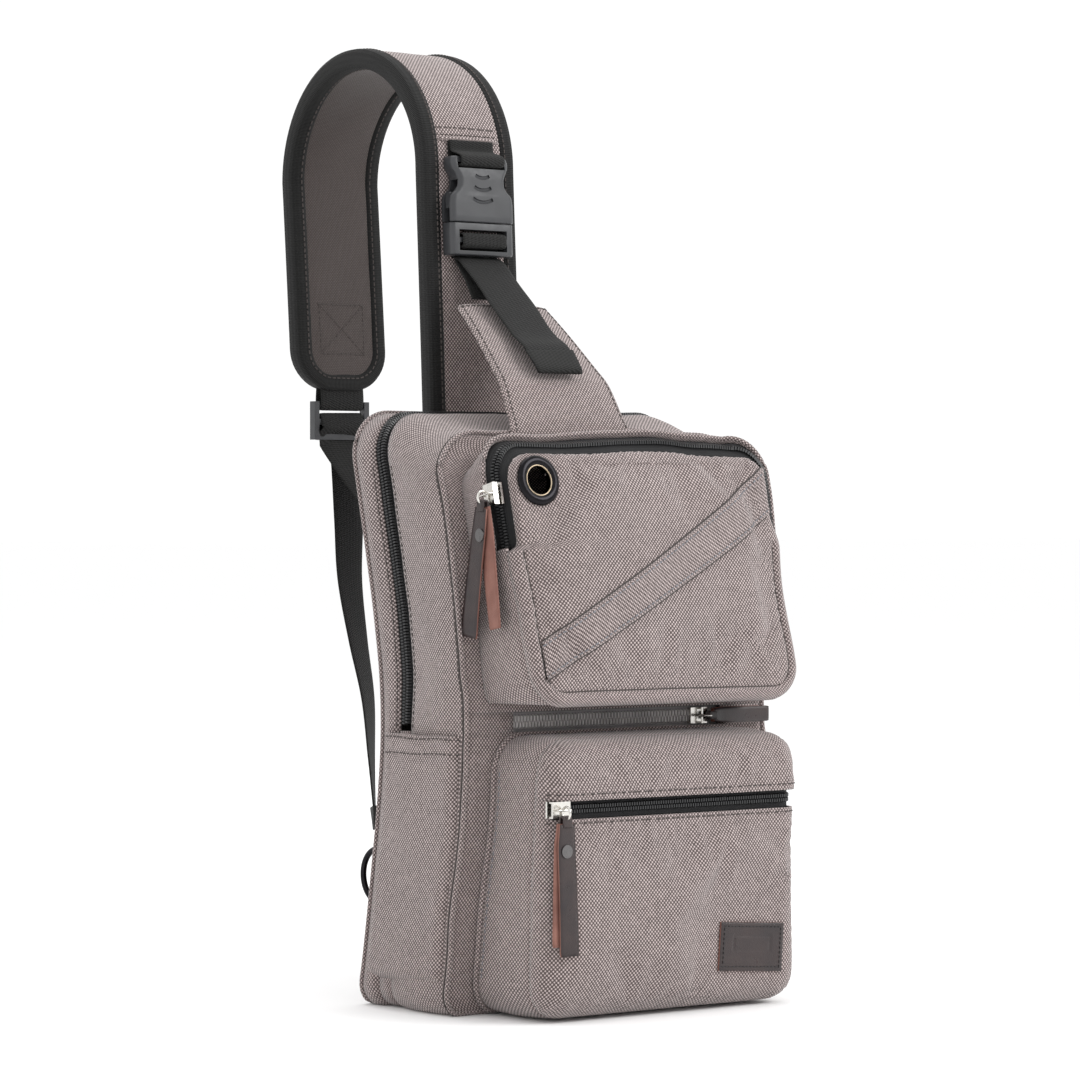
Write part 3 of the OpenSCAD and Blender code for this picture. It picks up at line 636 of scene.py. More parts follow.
def resample(path, pitch, start=0.0, longest=math.inf):
    """Evenly spaced (point, tangent, stretch) along a path, leaving out stretches over the longest."""
    out, carry = [], start
    for i, (a, b) in enumerate(zip(path, path[1:])):
        a, b = Vector(a), Vector(b)
        length = (b - a).length
        if length < 1e-6 or length > longest:
            continue
        tangent = (b - a) / length
        at = carry
        while at < length:
            out.append((a + tangent * at, tangent, i))
            at += pitch
        carry = at - length
    return out


PEG = [(-1, -1, -1), (1, -1, -1), (1, 1, -1), (-1, 1, -1),
       (-0.8, -0.6, 1), (0.8, -0.6, 1), (0.8, 0.6, 1), (-0.8, 0.6, 1)]
BOX_FACES = [(3, 2, 1, 0), (4, 5, 6, 7), (0, 1, 5, 4), (1, 2, 6, 5), (2, 3, 7, 6), (3, 0, 4, 7)]


def pegs(name, places, size, material):
    """Many small blocks at (centre, along, out) places, with (along, across, out) half sizes."""
    points, faces = [], []
    for centre, along, out in places:
        across = out.cross(along).normalized()
        start = len(points)
        for a, b, c in PEG:
            points.append(centre + along * a * size[0] + across * b * size[1] + out * c * size[2])
        faces.extend(tuple(start + k for k in face) for face in BOX_FACES)
    return make_mesh(name, points, faces, material, smooth=False)


def surface_tree(pieces):
    """A search tree of the final meshes, in millimetres."""
    points, faces = [], []
    for piece in pieces:
        start = len(points)
        points.extend(piece.matrix_world @ v.co / MM for v in piece.data.vertices)
        faces.extend(tuple(start + k for k in p.vertices) for p in piece.data.polygons)
    return BVHTree.FromPolygons(points, faces)


def stitches(name, path, tree, toward, material, pitch=3.6, length=2.5, width=0.85):
    """A row of stitches, dropped along `toward` onto the cloth below."""
    places = []
    toward = Vector(toward).normalized()
    for point, tangent, _ in resample(path, pitch):
        hit, normal, _, _ = tree.ray_cast(point - toward * 25, toward, 60)
        if hit is None:
            continue
        if normal.dot(toward) > 0:
            normal = -normal
        along = (tangent - normal * tangent.dot(normal)).normalized()
        places.append((hit + normal * 0.12, along, normal))
    return pegs(name, places, (length / 2, width / 2, 0.32), material)


def zip_teeth(name, path, outs, half=2.7, pitch=COIL_PITCH, material=COIL):
    """Interlocked coil along a millimetre path, with the outward direction at each of its points."""
    left, right = [], []
    for centre, tangent, i in resample(path, pitch):
        out = Vector(outs[i]).normalized()
        across = out.cross(tangent).normalized()
        left.append((centre + across * half * 0.5 + out * 0.2, tangent, out))
        right.append((centre + tangent * pitch / 2 - across * half * 0.5 + out * 0.2, tangent, out))
    return pegs(name, left + right, (0.55, half * 0.62, 0.9), material)


def settle(piece):
    """Keeps the cloth on the floor, never below it."""
    for vertex in piece.data.vertices:
        vertex.co.z = max(0.0, vertex.co.z)


def stand_for(piece, nodes):
    if nodes:
        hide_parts(*nodes)
    return piece


def ride(piece, body, material_slot, *nodes):
    """A finished piece that moves with one body and stands for the CAD nodes named."""
    settle(piece)
    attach(piece, body)
    return stand_for(piece, nodes)


def bend(piece, material_slot, start_z, end_z, *nodes):
    """Cloth that crosses the fold of the front."""
    settle(piece)
    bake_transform(piece)
    return stand_for(piece, nodes)


# ---------- main compartment ----------

BODY_LINE = outline(BODY_W, 0, BODY_H, CORNER_BOTTOM, CORNER_TOP)


def body_panel(name, y0, z_low, z_high, outward, crown, step=4.0, part=(-1, 1)):
    """Front or back panel between two heights inside the body's rounded outline. part cuts it in width."""
    columns = max(5, int(BODY_W * (part[1] - part[0]) / 2 / step) + 1)
    rows = max(3, int((z_high - z_low) / step) + 1)

    def share(i):
        return part[0] + (part[1] - part[0]) * i / (columns - 1)

    def at(i, j):
        z = z_low + (z_high - z_low) * j / (rows - 1)
        z_in = min(max(z, 0.8), BODY_H - 0.8)
        half = face_row(BODY_W, 0, BODY_H, CORNER_BOTTOM, CORNER_TOP, z_in)
        s = share(i)
        x = s * half
        swell = crown * (1 - s * s) * math.sin(math.pi * min(1, max(0, z / BODY_H)))
        return slump((x, surf_y(y0, z) + outward * swell, z))

    def uv(i, j):
        z = z_low + (z_high - z_low) * j / (rows - 1)
        return share(i) * BODY_W / 2, z

    return face_outwards(grid(name, columns, rows, at, uv, CANVAS), (0, outward, 0))


def body_band(name, y_from, y_to, keep, swell, material=CANVAS, inset=0.0, step=4.0):
    """A stretch of the gusset between two bowed surfaces, where keep(x, z) holds on the outline."""
    runs, run = [], []
    for point in BODY_LINE + [BODY_LINE[0]]:
        if keep(point[0], point[1]):
            run.append(point)
        elif run:
            runs.append(run)
            run = []
    if run:
        runs.append(run)
    if len(runs) > 1 and keep(BODY_LINE[0][0], BODY_LINE[0][1]):
        runs = [runs[-1] + runs[0]] + runs[1:-1]
    parts = []
    rows = max(2, int(abs(y_to - y_from) / step) + 1)
    for n, line in enumerate(runs):

        def at(i, j, line=line):
            x, z, nx, nz, _ = line[i]
            t = j / (rows - 1)
            y0 = y_from + (y_to - y_from) * t
            out = swell * math.sin(math.pi * t) * (1 - max(0.0, nz)) - inset
            return slump((x + nx * out, surf_y(y0, z), max(0.0, z + nz * out)))

        def uv(i, j, line=line):
            return y_from + (y_to - y_from) * j / (rows - 1), line[i][4]

        parts.append(grid(f"{name}_{n}", len(line), rows, at, uv, material))
    return face_away(join(name, parts) if len(parts) > 1 else parts[0], (0, 0, BODY_H / 2))


def body_bead(name, y0):
    """The turned seam between a panel and the gusset, standing 0.6 mm proud of the body's outline."""
    path = [slump((x + nx * 0.6, surf_y(y0, z), max(SEAM_R, z + nz * 0.6))) for x, z, nx, nz, _ in BODY_LINE]
    return lay_tube(name, path, SEAM_R, CANVAS, closed=True, squash=0.9)


def everywhere(x, z):
    return True


CUSHION = (82, 38, 290, 20)
CUSHION_LINES = (-27, 27)


def cushion(x, z):
    """Soft relief of the padded back: three stitched columns inside a border."""
    half, low, high, r = CUSHION
    inside = from_edge(x, z, half, low, high, r, r)
    if inside <= 0:
        return -1.2 * ease(-5, 0, inside)
    nearest = min([inside] + [abs(x - line) for line in CUSHION_LINES])
    return -1.2 + 4.2 * ease(0, 9, nearest) ** 0.6


def make_cushion_stitches(back):
    """Stitched lines around and between the cushions of the back."""
    half, low, high, r = CUSHION
    tree = surface_tree([back])
    border = [(x, z) for x, z, _, _, _ in outline(2 * half, low, high, r, r)]
    rows = [border + [border[0]]] + [[(x, z) for z in range(low, high + 1, 6)] for x in CUSHION_LINES]
    for k, row in enumerate(rows):
        path = [(x, surf_y(BACK_Y, z) + 8, z) for x, z in row]
        ride(stitches(f"back_stitch_{k}", path, tree, (0, -1, 0), DARK_THREAD_AND_SHADOW), "root", "webbing")


def make_body():
    """Panels, gussets, lining, seams and stitches of the main compartment."""
    back = body_panel("back_panel_cloth", BACK_Y, 0, BODY_H, outward=1, crown=3, step=2.4)
    for vertex in back.data.vertices:
        vertex.co.y += cushion(vertex.co.x / MM, vertex.co.z / MM) * MM
    thicken(back, CLOTH)
    ride(back, "root", "canvas", "back_panel")
    make_cushion_stitches(back)
    rear = body_band("rear_gusset_cloth", ZIP_HALF, BACK_Y, everywhere, swell=2.5)
    thicken(rear, CLOTH)
    ride(rear, "root", "canvas", "rear_gusset")
    side = body_band("front_gusset_cloth", FRONT_Y, -ZIP_HALF, everywhere, swell=2.5)
    thicken(side, CLOTH)
    bend(side, "canvas", FOLD_LOW, FOLD_HIGH, "front_gusset")
    low = body_band("lower_gusset_cloth", -ZIP_HALF, ZIP_HALF, lambda x, z: z < ZIP_END_Z, swell=0)
    thicken(low, CLOTH)
    ride(low, "root", "canvas", "lower_gusset")
    front = body_panel("front_panel_cloth", FRONT_Y, RECESS_Z + ZIP_HALF, BODY_H, outward=-1, crown=2)
    thicken(front, CLOTH)
    bend(front, "canvas", RECESS_Z + ZIP_HALF, FOLD_HIGH, "front_panel_upper")
    lining = body_panel("front_lining_cloth", FRONT_Y + 2.6, RECESS_Z + 13, BODY_H - 4,
                        outward=-1, crown=1.6, part=(-0.95, 0.95))
    lining.data.materials.clear()
    lining.data.materials.append(LINING)
    thicken(lining, TAPE_CLOTH)
    bend(lining, "lining", RECESS_Z + ZIP_HALF, FOLD_HIGH, "front_lining")
    foot = join("front_panel_low_cloth", [
        body_panel("front_panel_low", FRONT_Y, 0, RECESS_Z - ZIP_HALF, -1, 2),
        *(body_panel(f"slot_{end}", FRONT_Y, RECESS_Z - ZIP_HALF, RECESS_Z + ZIP_HALF, -1, 2, part=part)
          for end, part in (("left", (-1, -SLOT_SHARE)), ("right", (SLOT_SHARE, 1))))])
    thicken(foot, CLOTH)
    ride(foot, "root", "canvas", "front_panel_lower")
    bend(body_bead("front_seam", FRONT_Y), "canvas", FOLD_LOW, FOLD_HIGH)
    thread = [slump((x + nx * 1.1, surf_y(FRONT_Y + 2.4, z), max(0.5, z + nz * 1.1)))
              for x, z, nx, nz, _ in BODY_LINE]
    bend(lay_tube("front_seam_thread", thread, 0.45, DARK_THREAD_AND_SHADOW, closed=True), "webbing", FOLD_LOW,
         FOLD_HIGH)
    ride(body_bead("back_seam", BACK_Y), "root", "canvas")
    side_tree = surface_tree([side, rear])
    rows = []
    for x_side in (-1, 1):
        for y0 in (-ZIP_HALF - 2.2, FRONT_Y + 4):
            path = [slump((x_side * BODY_W / 2, surf_y(y0, z), z)) for z in range(ZIP_END_Z, 306, 4)]
            row = stitches(f"gusset_stitch_{x_side}_{y0:.0f}".replace("-", "m"), path, side_tree,
                           (-x_side, 0, 0), DARK_THREAD_AND_SHADOW)
            rows.append(bend(row, "webbing", FOLD_LOW, FOLD_HIGH))
        path = [slump((x_side * BODY_W / 2, surf_y(ZIP_HALF + 2.2, z), z)) for z in range(ZIP_END_Z, 306, 4)]
        row = stitches(f"rear_stitch_{x_side}".replace("-", "m"), path, side_tree, (-x_side, 0, 0),
                       DARK_THREAD_AND_SHADOW)
        ride(row, "root", "webbing")
    make_main_zip()


def make_main_zip():
    """Both tapes and both coils of the zip that runs over the top of the body."""
    def above(x, z):
        return z > ZIP_END_Z
    for side, body in ((1, "rear"), (-1, "front")):
        band = body_band(f"main_tape_{body}", side * 0.1, side * (ZIP_HALF + 2), above, 0, TAPE,
                         inset=1.2, step=2.5)
        thicken(band, TAPE_CLOTH)
        if side > 0:
            ride(band, "root", "zip", "main_zip_tape_rear")
        else:
            bend(band, "zip", ZIP_FOLD, FOLD_HIGH, "main_zip_tape_front")
    line = [p for p in BODY_LINE if above(p[0], p[1])]
    for side, name in ((1, "main_coil_rear"), (-1, "main_coil_front")):
        centre = [slump((x + nx * 0.2, surf_y(side * 1.5, z), z + nz * 0.2)) for x, z, nx, nz, _ in line]
        start = 0 if side > 0 else COIL_PITCH / 2
        places = [(point, tangent, Vector((line[i][2], 0, line[i][3])).normalized())
                  for point, tangent, i in resample(centre, COIL_PITCH, start, longest=20)]
        coil = pegs(name, places, (0.55, 1.75, 0.95), COIL)
        if side > 0:
            ride(coil, "root", "zip")
        else:
            bend(coil, "zip", ZIP_FOLD, FOLD_HIGH)


# ---------- pockets ----------

def puff(piece, held, pressure, grow):
    """Cloth filled out under light pressure, held where held(point) is near 1. Its final shape is kept."""
    group = piece.vertex_groups.new(name="held")
    for vertex in piece.data.vertices:
        group.add([vertex.index], held(vertex.co / MM), "REPLACE")
    cloth = piece.modifiers.new("cloth", "CLOTH")
    settings = cloth.settings
    settings.quality = 6
    settings.mass = 0.3
    settings.tension_stiffness = 25
    settings.compression_stiffness = 25
    settings.bending_stiffness = 1.5
    settings.use_pressure = True
    settings.uniform_pressure_force = pressure
    settings.shrink_min = -grow
    settings.vertex_group_mass = "held"
    settings.effector_weights.gravity = 0
    cloth.point_cache.frame_start = 1
    cloth.point_cache.frame_end = PUFF_FRAMES
    scene = bpy.context.scene
    for frame_number in range(1, PUFF_FRAMES + 1):
        scene.frame_set(frame_number)
    graph = bpy.context.evaluated_depsgraph_get()
    swollen = [v.co.copy() for v in piece.evaluated_get(graph).data.vertices]
    for vertex, moved in zip(piece.data.vertices, swollen):
        step = (moved - vertex.co) / MM
        if step.length > PUFF_LIMIT:
            step *= PUFF_LIMIT / step.length
        vertex.co += step * MM
    piece.modifiers.clear()
    piece.vertex_groups.clear()
    scene.frame_set(1)
    return piece


def between(table, value):
    """Linear reading of a (key, value) table."""
    for (k0, v0), (k1, v1) in zip(table, table[1:]):
        if value <= k1:
            return v0 + (v1 - v0) * max(0.0, (value - k0) / (k1 - k0))
    return table[-1][1]


def from_edge(x, z, half, z0, z1, r_low, r_high):
    """Distance inwards from a rounded rectangle's outline."""
    r = r_low if z < (z0 + z1) / 2 else r_high
    dx = abs(x) - (half - r)
    dz = max(z0 + r - z, z - z1 + r)
    if dx > 0 and dz > 0:
        return r - math.hypot(dx, dz)
    return min(half - abs(x), z - z0, z1 - z)


def spaced(low, high, dense):
    """Positions from low to high, close together next to both ends."""
    inner = max(2, round((high - low - 2 * dense[-1]) / POCKET_STEP))
    middle = [low + dense[-1] + (high - low - 2 * dense[-1]) * k / inner for k in range(1, inner)]
    return [low + d for d in dense] + middle + [high - d for d in reversed(dense)]


SEAM_SPACING = (0, 0.25, 0.7, 1.4, 2.4, 3.6, 5, 6.4, 7.2, 8, 9.4, 12)


def dome(name, shape, depth, place, dense=SEAM_SPACING):
    """A panel over a rounded rectangle, with depth(x, z, d) as its relief at d from the edge.

    shape is (half width at z, z0, z1, r_low, r_high).
    """
    width_at, z0, z1, r_low, r_high = shape
    heights = spaced(z0, z1, dense)
    widest = width_at((z0 + z1) / 2)
    fractions = [x / widest for x in spaced(-widest, widest, dense)]
    spots = []
    for z in heights:
        half = face_row(2 * width_at(z), z0, z1, r_low, r_high, z)
        for f in fractions:
            x = f * half
            spots.append((x, z, max(0.0, from_edge(x, z, width_at(z), z0, z1, r_low, r_high))))
    n = len(fractions)

    def at(i, j):
        x, z, d = spots[j * n + i]
        return place(x, depth(x, z, d), z)

    return grid(name, n, len(heights), at, None, CANVAS)


def keep_part(piece, place, above, axis=(0, 0, 1)):
    """Cuts a sheet at a place along an axis, in millimetres, and keeps the side above or below it."""
    with editing(piece) as mesh:
        geometry = mesh.verts[:] + mesh.edges[:] + mesh.faces[:]
        bmesh.ops.bisect_plane(mesh, geom=geometry, plane_co=tuple(c * place * MM for c in axis),
                               plane_no=axis, clear_inner=above, clear_outer=not above)


def face_away(piece, centre):
    """Turns the sheet's normals away from the line along Y through a millimetre point."""
    middle = Vector(centre) * MM
    facing = 0.0
    with editing(piece) as mesh:
        for f in mesh.faces:
            away = f.calc_center_median() - middle
            away.y = 0
            facing += f.normal.dot(away) * f.calc_area()
        if facing < 0:
            bmesh.ops.reverse_faces(mesh, faces=mesh.faces)
    return piece


def face_outwards(piece, toward=(0, -1, 0)):
    """Turns the sheet so that its normals mostly face `toward`."""
    with editing(piece) as mesh:
        if sum(f.normal.dot(Vector(toward)) * f.calc_area() for f in mesh.faces) < 0:
            bmesh.ops.reverse_faces(mesh, faces=mesh.faces)
    return piece


def to_panel(x, y, z):
    """Depth in the pocket's frame at which the ray from (x, z) meets the front panel."""
    low, high = y, 80.0
    for _ in range(22):
        middle = (low + high) / 2
        p = on_pocket(x, middle, z)
        if p.y < surf_y(FRONT_Y, p.z):
            low = middle
        else:
            high = middle
    return low


def rejoined(run):
    """A stretch of an outline, put in order where it passes the outline's starting point."""
    split = max(range(1, len(run)), key=lambda k: abs(run[k][4] - run[k - 1][4]))
    return run[split:] + run[:split]


def make_upper_pocket():
    """Face, walls, zip tape, coil, hem and seam thread of the upper pocket."""
    line = outline(UPPER_W, 0, UPPER_H, UPPER_R, UPPER_R, 3.0)
    edge_y = UPPER_ZIP_Y - ZIP_HALF

    def place(x, y, z):
        near = 1 - ease(15, 34, math.hypot(x - GROMMET_X, z - GROMMET_Z))
        return slump(full_pocket(x, y + (-0.1 - y) * near if y < 3 else y, z))

    low = [(0, edge_y), (0.25, 4.0), (0.7, 2.2), (1.6, 0.7), (3.6, -0.6), (5.4, -0.9), (6.4, 0.1),
           (7.2, 1.0), (8.0, 0.0), (9.4, -0.8), (14, -1.4), (40, -4.2), (75, -5.0)]
    high = [(0, edge_y), (0.25, 3.6), (0.7, 1.9), (1.6, 0.8), (3.6, -0.1), (7.2, -0.8), (12, -1.4),
            (40, -4.0), (75, -5.0)]
    zip_inset, zip_top = 6.8, 10.4

    def raised(z):
        return ease(UPPER_ZIP_END - 2, UPPER_ZIP_END + 1.5, z)

    def depth(x, z, d):
        return between(low, d) + (between(high, d) - between(low, d)) * raised(z)

    shape = (lambda z: UPPER_W / 2 - zip_inset * raised(z), 0, UPPER_H - zip_top, UPPER_R,
             UPPER_R - zip_inset)

    def right_inset(z):
        return 5.6 * ease(84, 106, z)

    def face_place(x, y, z):
        return place(x + (zip_inset * raised(z) - right_inset(z)) * ease(20, 84, x), y, z)

    face = dome("upper_pocket_cloth", shape, depth, face_place)

    def held(p):
        z = (p.z - UPPER_Z) / math.cos(LEAN)
        edge = min(UPPER_W / 2 - abs(p.x), z, UPPER_H - z)
        return max(1 - ease(8, 20, edge), 1 - ease(15, 26, (p - GROMMET).length))

    puff(face, held, 3.2, 0.03)
    with editing(face) as mesh:
        hole = [f for f in mesh.faces if (f.calc_center_median() / MM - GROMMET).length < 10]
        bmesh.ops.delete(mesh, geom=hole, context="FACES")
    face_outwards(face)
    thicken(face, 1.7)
    ride(face, "front_flap", "canvas", "upper_pocket_face")

    walls = []
    for name, keep, start in (("upper", lambda z: z >= UPPER_ZIP_END, UPPER_ZIP_Y + ZIP_HALF),
                              ("lower", lambda z: z <= UPPER_ZIP_END + 3, edge_y)):
        run = [p for p in line if keep(p[1])]
        if name == "lower":
            run = rejoined(run)
        rows = 9

        def at(i, j, run=run, start=start):
            x, z, nx, nz, _ = run[i]
            first = start - (10.5 * max(0.0, nx) if start > edge_y else 0)
            end = to_panel(x, first, z) + 1.2
            t = j / (rows - 1)
            swell = 1.6 * math.sin(math.pi * t)
            lip = 2.6 * max(0.0, nz) * (1 - t) ** 2
            p = full_pocket(x + nx * swell, first + (end - first) * t, z + nz * swell + lip)
            p.z = max(p.z, UPPER_Z)
            return slump(p)

        def uv(i, j, run=run, start=start):
            return start + 40 * j / (rows - 1), run[i][4]

        walls.append(grid(f"upper_wall_{name}", len(run), rows, at, uv, CANVAS))
    wall = face_away(join("upper_pocket_wall", walls), (0, 0, 247))
    thicken(wall, CLOTH)
    ride(wall, "front_flap", "canvas", "upper_pocket_gusset")

    run = [p for p in line if p[1] >= UPPER_ZIP_END]

    def on_tape(i, t, lift=0.0):
        x, z, nx, nz, _ = run[i]
        up, right = max(0.0, nz), max(0.0, nx)
        inner = 7.4 + 3.6 * up - right * (zip_inset - right_inset(z))
        outer = 0.8 * (1 - up) - 0.4 * right
        inset = inner + (outer - inner) * t - lift * 0.86
        return slump(full_pocket(x - nx * inset, edge_y - 1.5 + (13.5 - 10.5 * right) * t - lift * 0.5,
                                 z - nz * inset))

    tape = grid("upper_tape", len(run), 7, lambda i, j: on_tape(i, j / 6),
                lambda i, j: (j * 2.4, run[i][4]), TAPE)
    thicken(tape, TAPE_CLOTH, 0)
    ride(tape, "front_flap", "zip", "upper_zip_tape")
    path = [on_tape(i, 0.5, 0.9) for i in range(len(run))]
    outs = [on_tape(i, 0.5, 2) - on_tape(i, 0.5) for i in range(len(run))]
    ride(zip_teeth("upper_coil", path, outs, 2.4), "front_flap", "zip")
    hem = [place(x - nx * 0.2, UPPER_ZIP_Y + ZIP_HALF - 10.5 * max(0.0, nx),
                 z - nz * 0.2 + 2.8 * max(0.0, nz)) for x, z, nx, nz, _ in run]
    ride(lay_tube("upper_pocket_hem", hem, SEAM_R, CANVAS, sides=10), "front_flap", "canvas")
    seam = rejoined([p for p in line if p[1] < UPPER_ZIP_END - 1])
    groove = [place(x - nx * 7.2, 0.75, z - nz * 7.2) for x, z, nx, nz, _ in seam]
    ride(lay_tube("face_seam_thread", groove, 0.42, DARK_THREAD_AND_SHADOW), "front_flap", "webbing")

    tree = surface_tree([face, wall])
    make_band(tree)


def make_band(tree):
    """The raised canvas band across the upper pocket, laid on the cloth in `tree`."""
    centre, outer, width, left, right = (-174, 432), 420, 21, -86, 89
    toward = Vector((0, math.cos(LEAN), -math.sin(LEAN)))

    def spot(t, r, lift, inset=0.0):
        start = -math.acos((left - centre[0] + inset) / r)
        end = -math.acos((right - centre[0] - inset) / r)
        a = start + (end - start) * t
        x, z = centre[0] + r * math.cos(a), centre[1] + r * math.sin(a)
        u = x / 88
        aim = on_pocket(x, -20, z + 7.5 + 5 * u - 11.5 * u * u)
        hit, _, _, _ = tree.ray_cast(aim, toward, 60)
        return (hit or aim + toward * 22) - toward * lift

    columns = 110
    steps = [(0, 0.1), (0.2, 1.5), (0.8, 2.5), (1.9, 2.4), (3.2, 1.9), (7, 1.8), (10.5, 1.8), (14, 1.8),
             (17.8, 1.9), (19.1, 2.4), (20.2, 2.5), (20.8, 1.5), (21, 0.1)]

    def at(i, j):
        return spot(i / (columns - 1), outer - steps[j][0], steps[j][1])

    band = grid("diagonal_band_cloth", columns, len(steps), at, None, CANVAS)
    face_outwards(band)
    thicken(band, TAPE_CLOTH)
    ride(band, "front_flap", "canvas", "diagonal_band")
    top = surface_tree([band])
    for k, r in enumerate((outer - 2.2, outer - width + 2.2)):
        path = [spot(i / 60, r, 6, 1) for i in range(61)]
        ride(stitches(f"band_stitch_{k}", path, top, toward, BLUE_THREAD), "front_flap", "webbing")
        # Thin dark lines just outside both edges of the band, drawn in the dark thread material: a painted
        # shadow of the band's raised edges.
        line = [spot(i / 60, r + (2.5 if k == 0 else -2.5), 0.3, 1) for i in range(61)]
        ride(lay_tube(f"band_edge_{k}", line, 0.4, DARK_THREAD_AND_SHADOW), "front_flap", "webbing")


def make_lower_pocket():
    """Front, lid, zip stop, walls, zip and stitches of the lower pocket."""
    line = outline(LOWER_W, LOWER_Z0, LOWER_Z1, LOWER_R, LOWER_R, 3.0)
    line = [(x + LOWER_X, z, nx, nz, d) for x, z, nx, nz, d in line]
    r = LOWER_R - 4
    seam = LOWER_FRONT + r

    def depth(x, z, d):
        d = min(d, r)
        round_off = r - math.sqrt(max(0.0, r * r - (r - d) ** 2))
        swell = 2.2 * (1 - (x / (LOWER_W / 2)) ** 2) * (1 if z < LOWER_ZIP_Z else 0) * math.sin(
            math.pi * min(1, max(0, z / (LOWER_ZIP_Z - 3))))
        swell *= ease(26, 58, math.hypot(x + LOWER_X - PATCH_X, z - PATCH_Z))
        return LOWER_FRONT + round_off - swell * ease(8, 30, d + 16)

    shape = (lambda z: LOWER_W / 2, LOWER_Z0, LOWER_Z1, LOWER_R, LOWER_R)
    rim = [r - r * math.cos(math.radians(a)) for a in range(0, 91, 10)]
    shell = dome("lower_pocket_cloth", shape, depth, lambda x, y, z: slump((x + LOWER_X, y, z)), dense=rim)

    def held(p):
        edge = min(LOWER_W / 2 - abs(p.x - LOWER_X), p.z - LOWER_Z0, LOWER_Z1 - p.z)
        patch = 1 - ease(30, 46, (p - Vector((PATCH_X, LOWER_FRONT, PATCH_Z))).length)
        zip_line = 1 - ease(5, 18, abs(p.z - LOWER_ZIP_Z))
        return max(1 - ease(0.5, 12, edge), zip_line, patch)

    puff(shell, held, 3.0, 0.02)
    face_outwards(shell)
    lid = copy_of(shell, "lower_pocket_lid")
    stop = copy_of(shell, "lower_zip_stop")
    keep_part(stop, LOWER_ZIP_Z - ZIP_HALF + 0.02, True)
    keep_part(stop, LOWER_ZIP_Z + ZIP_HALF - 0.02, False)
    keep_part(stop, LOWER_X - LOWER_W / 2 + 7.0, False, (1, 0, 0))
    thicken(stop, POCKET_CLOTH)
    ride(stop, "root", "canvas")
    keep_part(shell, LOWER_ZIP_Z - ZIP_HALF, False)
    keep_part(lid, LOWER_ZIP_Z + ZIP_HALF, True)
    for vertex in lid.data.vertices:
        p = vertex.co / MM
        over = ease(LOWER_ZIP_Z + 24, LOWER_ZIP_Z + ZIP_HALF, p.z) * ease(seam, LOWER_FRONT, p.y)
        vertex.co.y -= 2.4 * over * MM
        vertex.co.z -= 1.0 * over * MM
    thicken(shell, POCKET_CLOTH)
    thicken(lid, POCKET_CLOTH)
    ride(shell, "root", "canvas", "lower_pocket_front")
    ride(lid, "root", "canvas", "lower_pocket_top")

    rows = 10

    def at(i, j):
        x, z, nx, nz, _ = line[i]
        t = j / (rows - 1)
        swell = 1.5 * math.sin(math.pi * t)
        end = surf_y(FRONT_Y, z) + 1.2
        return slump((x + nx * swell, seam + (end - seam) * t, max(0.3, z + nz * swell)))

    wall = grid("lower_pocket_wall", len(line), rows, at, lambda i, j: (j * 4.4, line[i][4]), CANVAS,
                closed=True)
    face_away(wall, (LOWER_X, 0, 77))
    thicken(wall, CLOTH)
    ride(wall, "root", "canvas", "lower_pocket_gusset")
    foot = [slump((x + nx * 1.2, surf_y(FRONT_Y, z) - 2.2, max(2.4, z + nz * 1.2)))
            for x, z, nx, nz, _ in line]
    ride(lay_tube("lower_pocket_flange", foot, 1.7, CANVAS, closed=True), "root", "canvas")

    wall_tree = surface_tree([wall])
    for name, toward, row in (
            ("left", (1, 0, 0), [(LOWER_X - LOWER_W / 2 - 8, 22 + 4 * k) for k in range(29)]),
            ("right", (-1, 0, 0), [(LOWER_X + LOWER_W / 2 + 8, 22 + 4 * k) for k in range(29)]),
            ("top", (0, 0, -1), [(LOWER_X - 72 + 4 * k, LOWER_Z1 + 6) for k in range(37)])):
        path = [slump((x, surf_y(FRONT_Y, z) - 6.4, z)) for x, z in row]
        ride(stitches(f"flange_stitch_{name}", path, wall_tree, toward, BLUE_THREAD), "root", "webbing")

    half = LOWER_W / 2 - 2.2

    def tape_point(i, j):
        x = LOWER_X - half + 2 * half * i / 80
        edge = half - abs(x - LOWER_X)
        back = max(0, r - edge)
        y = LOWER_FRONT + 2.2 + (r - math.sqrt(max(0, r * r - back * back)))
        return slump((x, y, LOWER_ZIP_Z - 8 + 4 * j))

    tape = grid("lower_tape", 81, 5, tape_point, lambda i, j: (4 * j, i * 2.3), TAPE)
    thicken(tape, TAPE_CLOTH, 0)
    ride(tape, "root", "zip", "lower_zip_tape")
    path = [tape_point(i, 2) - Vector((0, 0.9, 0)) for i in range(81)]
    ride(zip_teeth("lower_coil", path, [(0, -1, 0)] * 81, 2.4), "root", "zip")
    tree = surface_tree([shell, lid])
    for name, z in (("below", LOWER_ZIP_Z - ZIP_HALF - 2.2), ("above", LOWER_ZIP_Z + ZIP_HALF + 2.4)):
        path = [(LOWER_X - half + 2 * half * i / 60, LOWER_FRONT - 8, z) for i in range(61)]
        ride(stitches(f"lower_stitch_{name}", path, tree, (0, 1, 0), DARK_THREAD_AND_SHADOW), "root", "webbing")


def make_recess_zip():
    """The dusty zip in the recess between the two pockets."""
    half = 76.3
    y = surf_y(FRONT_Y, RECESS_Z) + 2.3
    tape = grid("recess_tape", 60, 5,
                lambda i, j: Vector((-half + 2 * half * i / 59, y, RECESS_Z - 7 + 3.5 * j)),
                lambda i, j: (3.5 * j, i * 2.6), DUSTY_TAPE)
    thicken(tape, TAPE_CLOTH, 0)
    ride(tape, "root", "zip", "recess_zip_tape")
    path = [(-half + 2 * half * i / 59, y - 1.3, RECESS_Z) for i in range(60)]
    ride(zip_teeth("recess_coil", path, [(0, -1, 0)] * 60, 3.4, 2.2, material=DUSTY_COIL), "root", "zip")


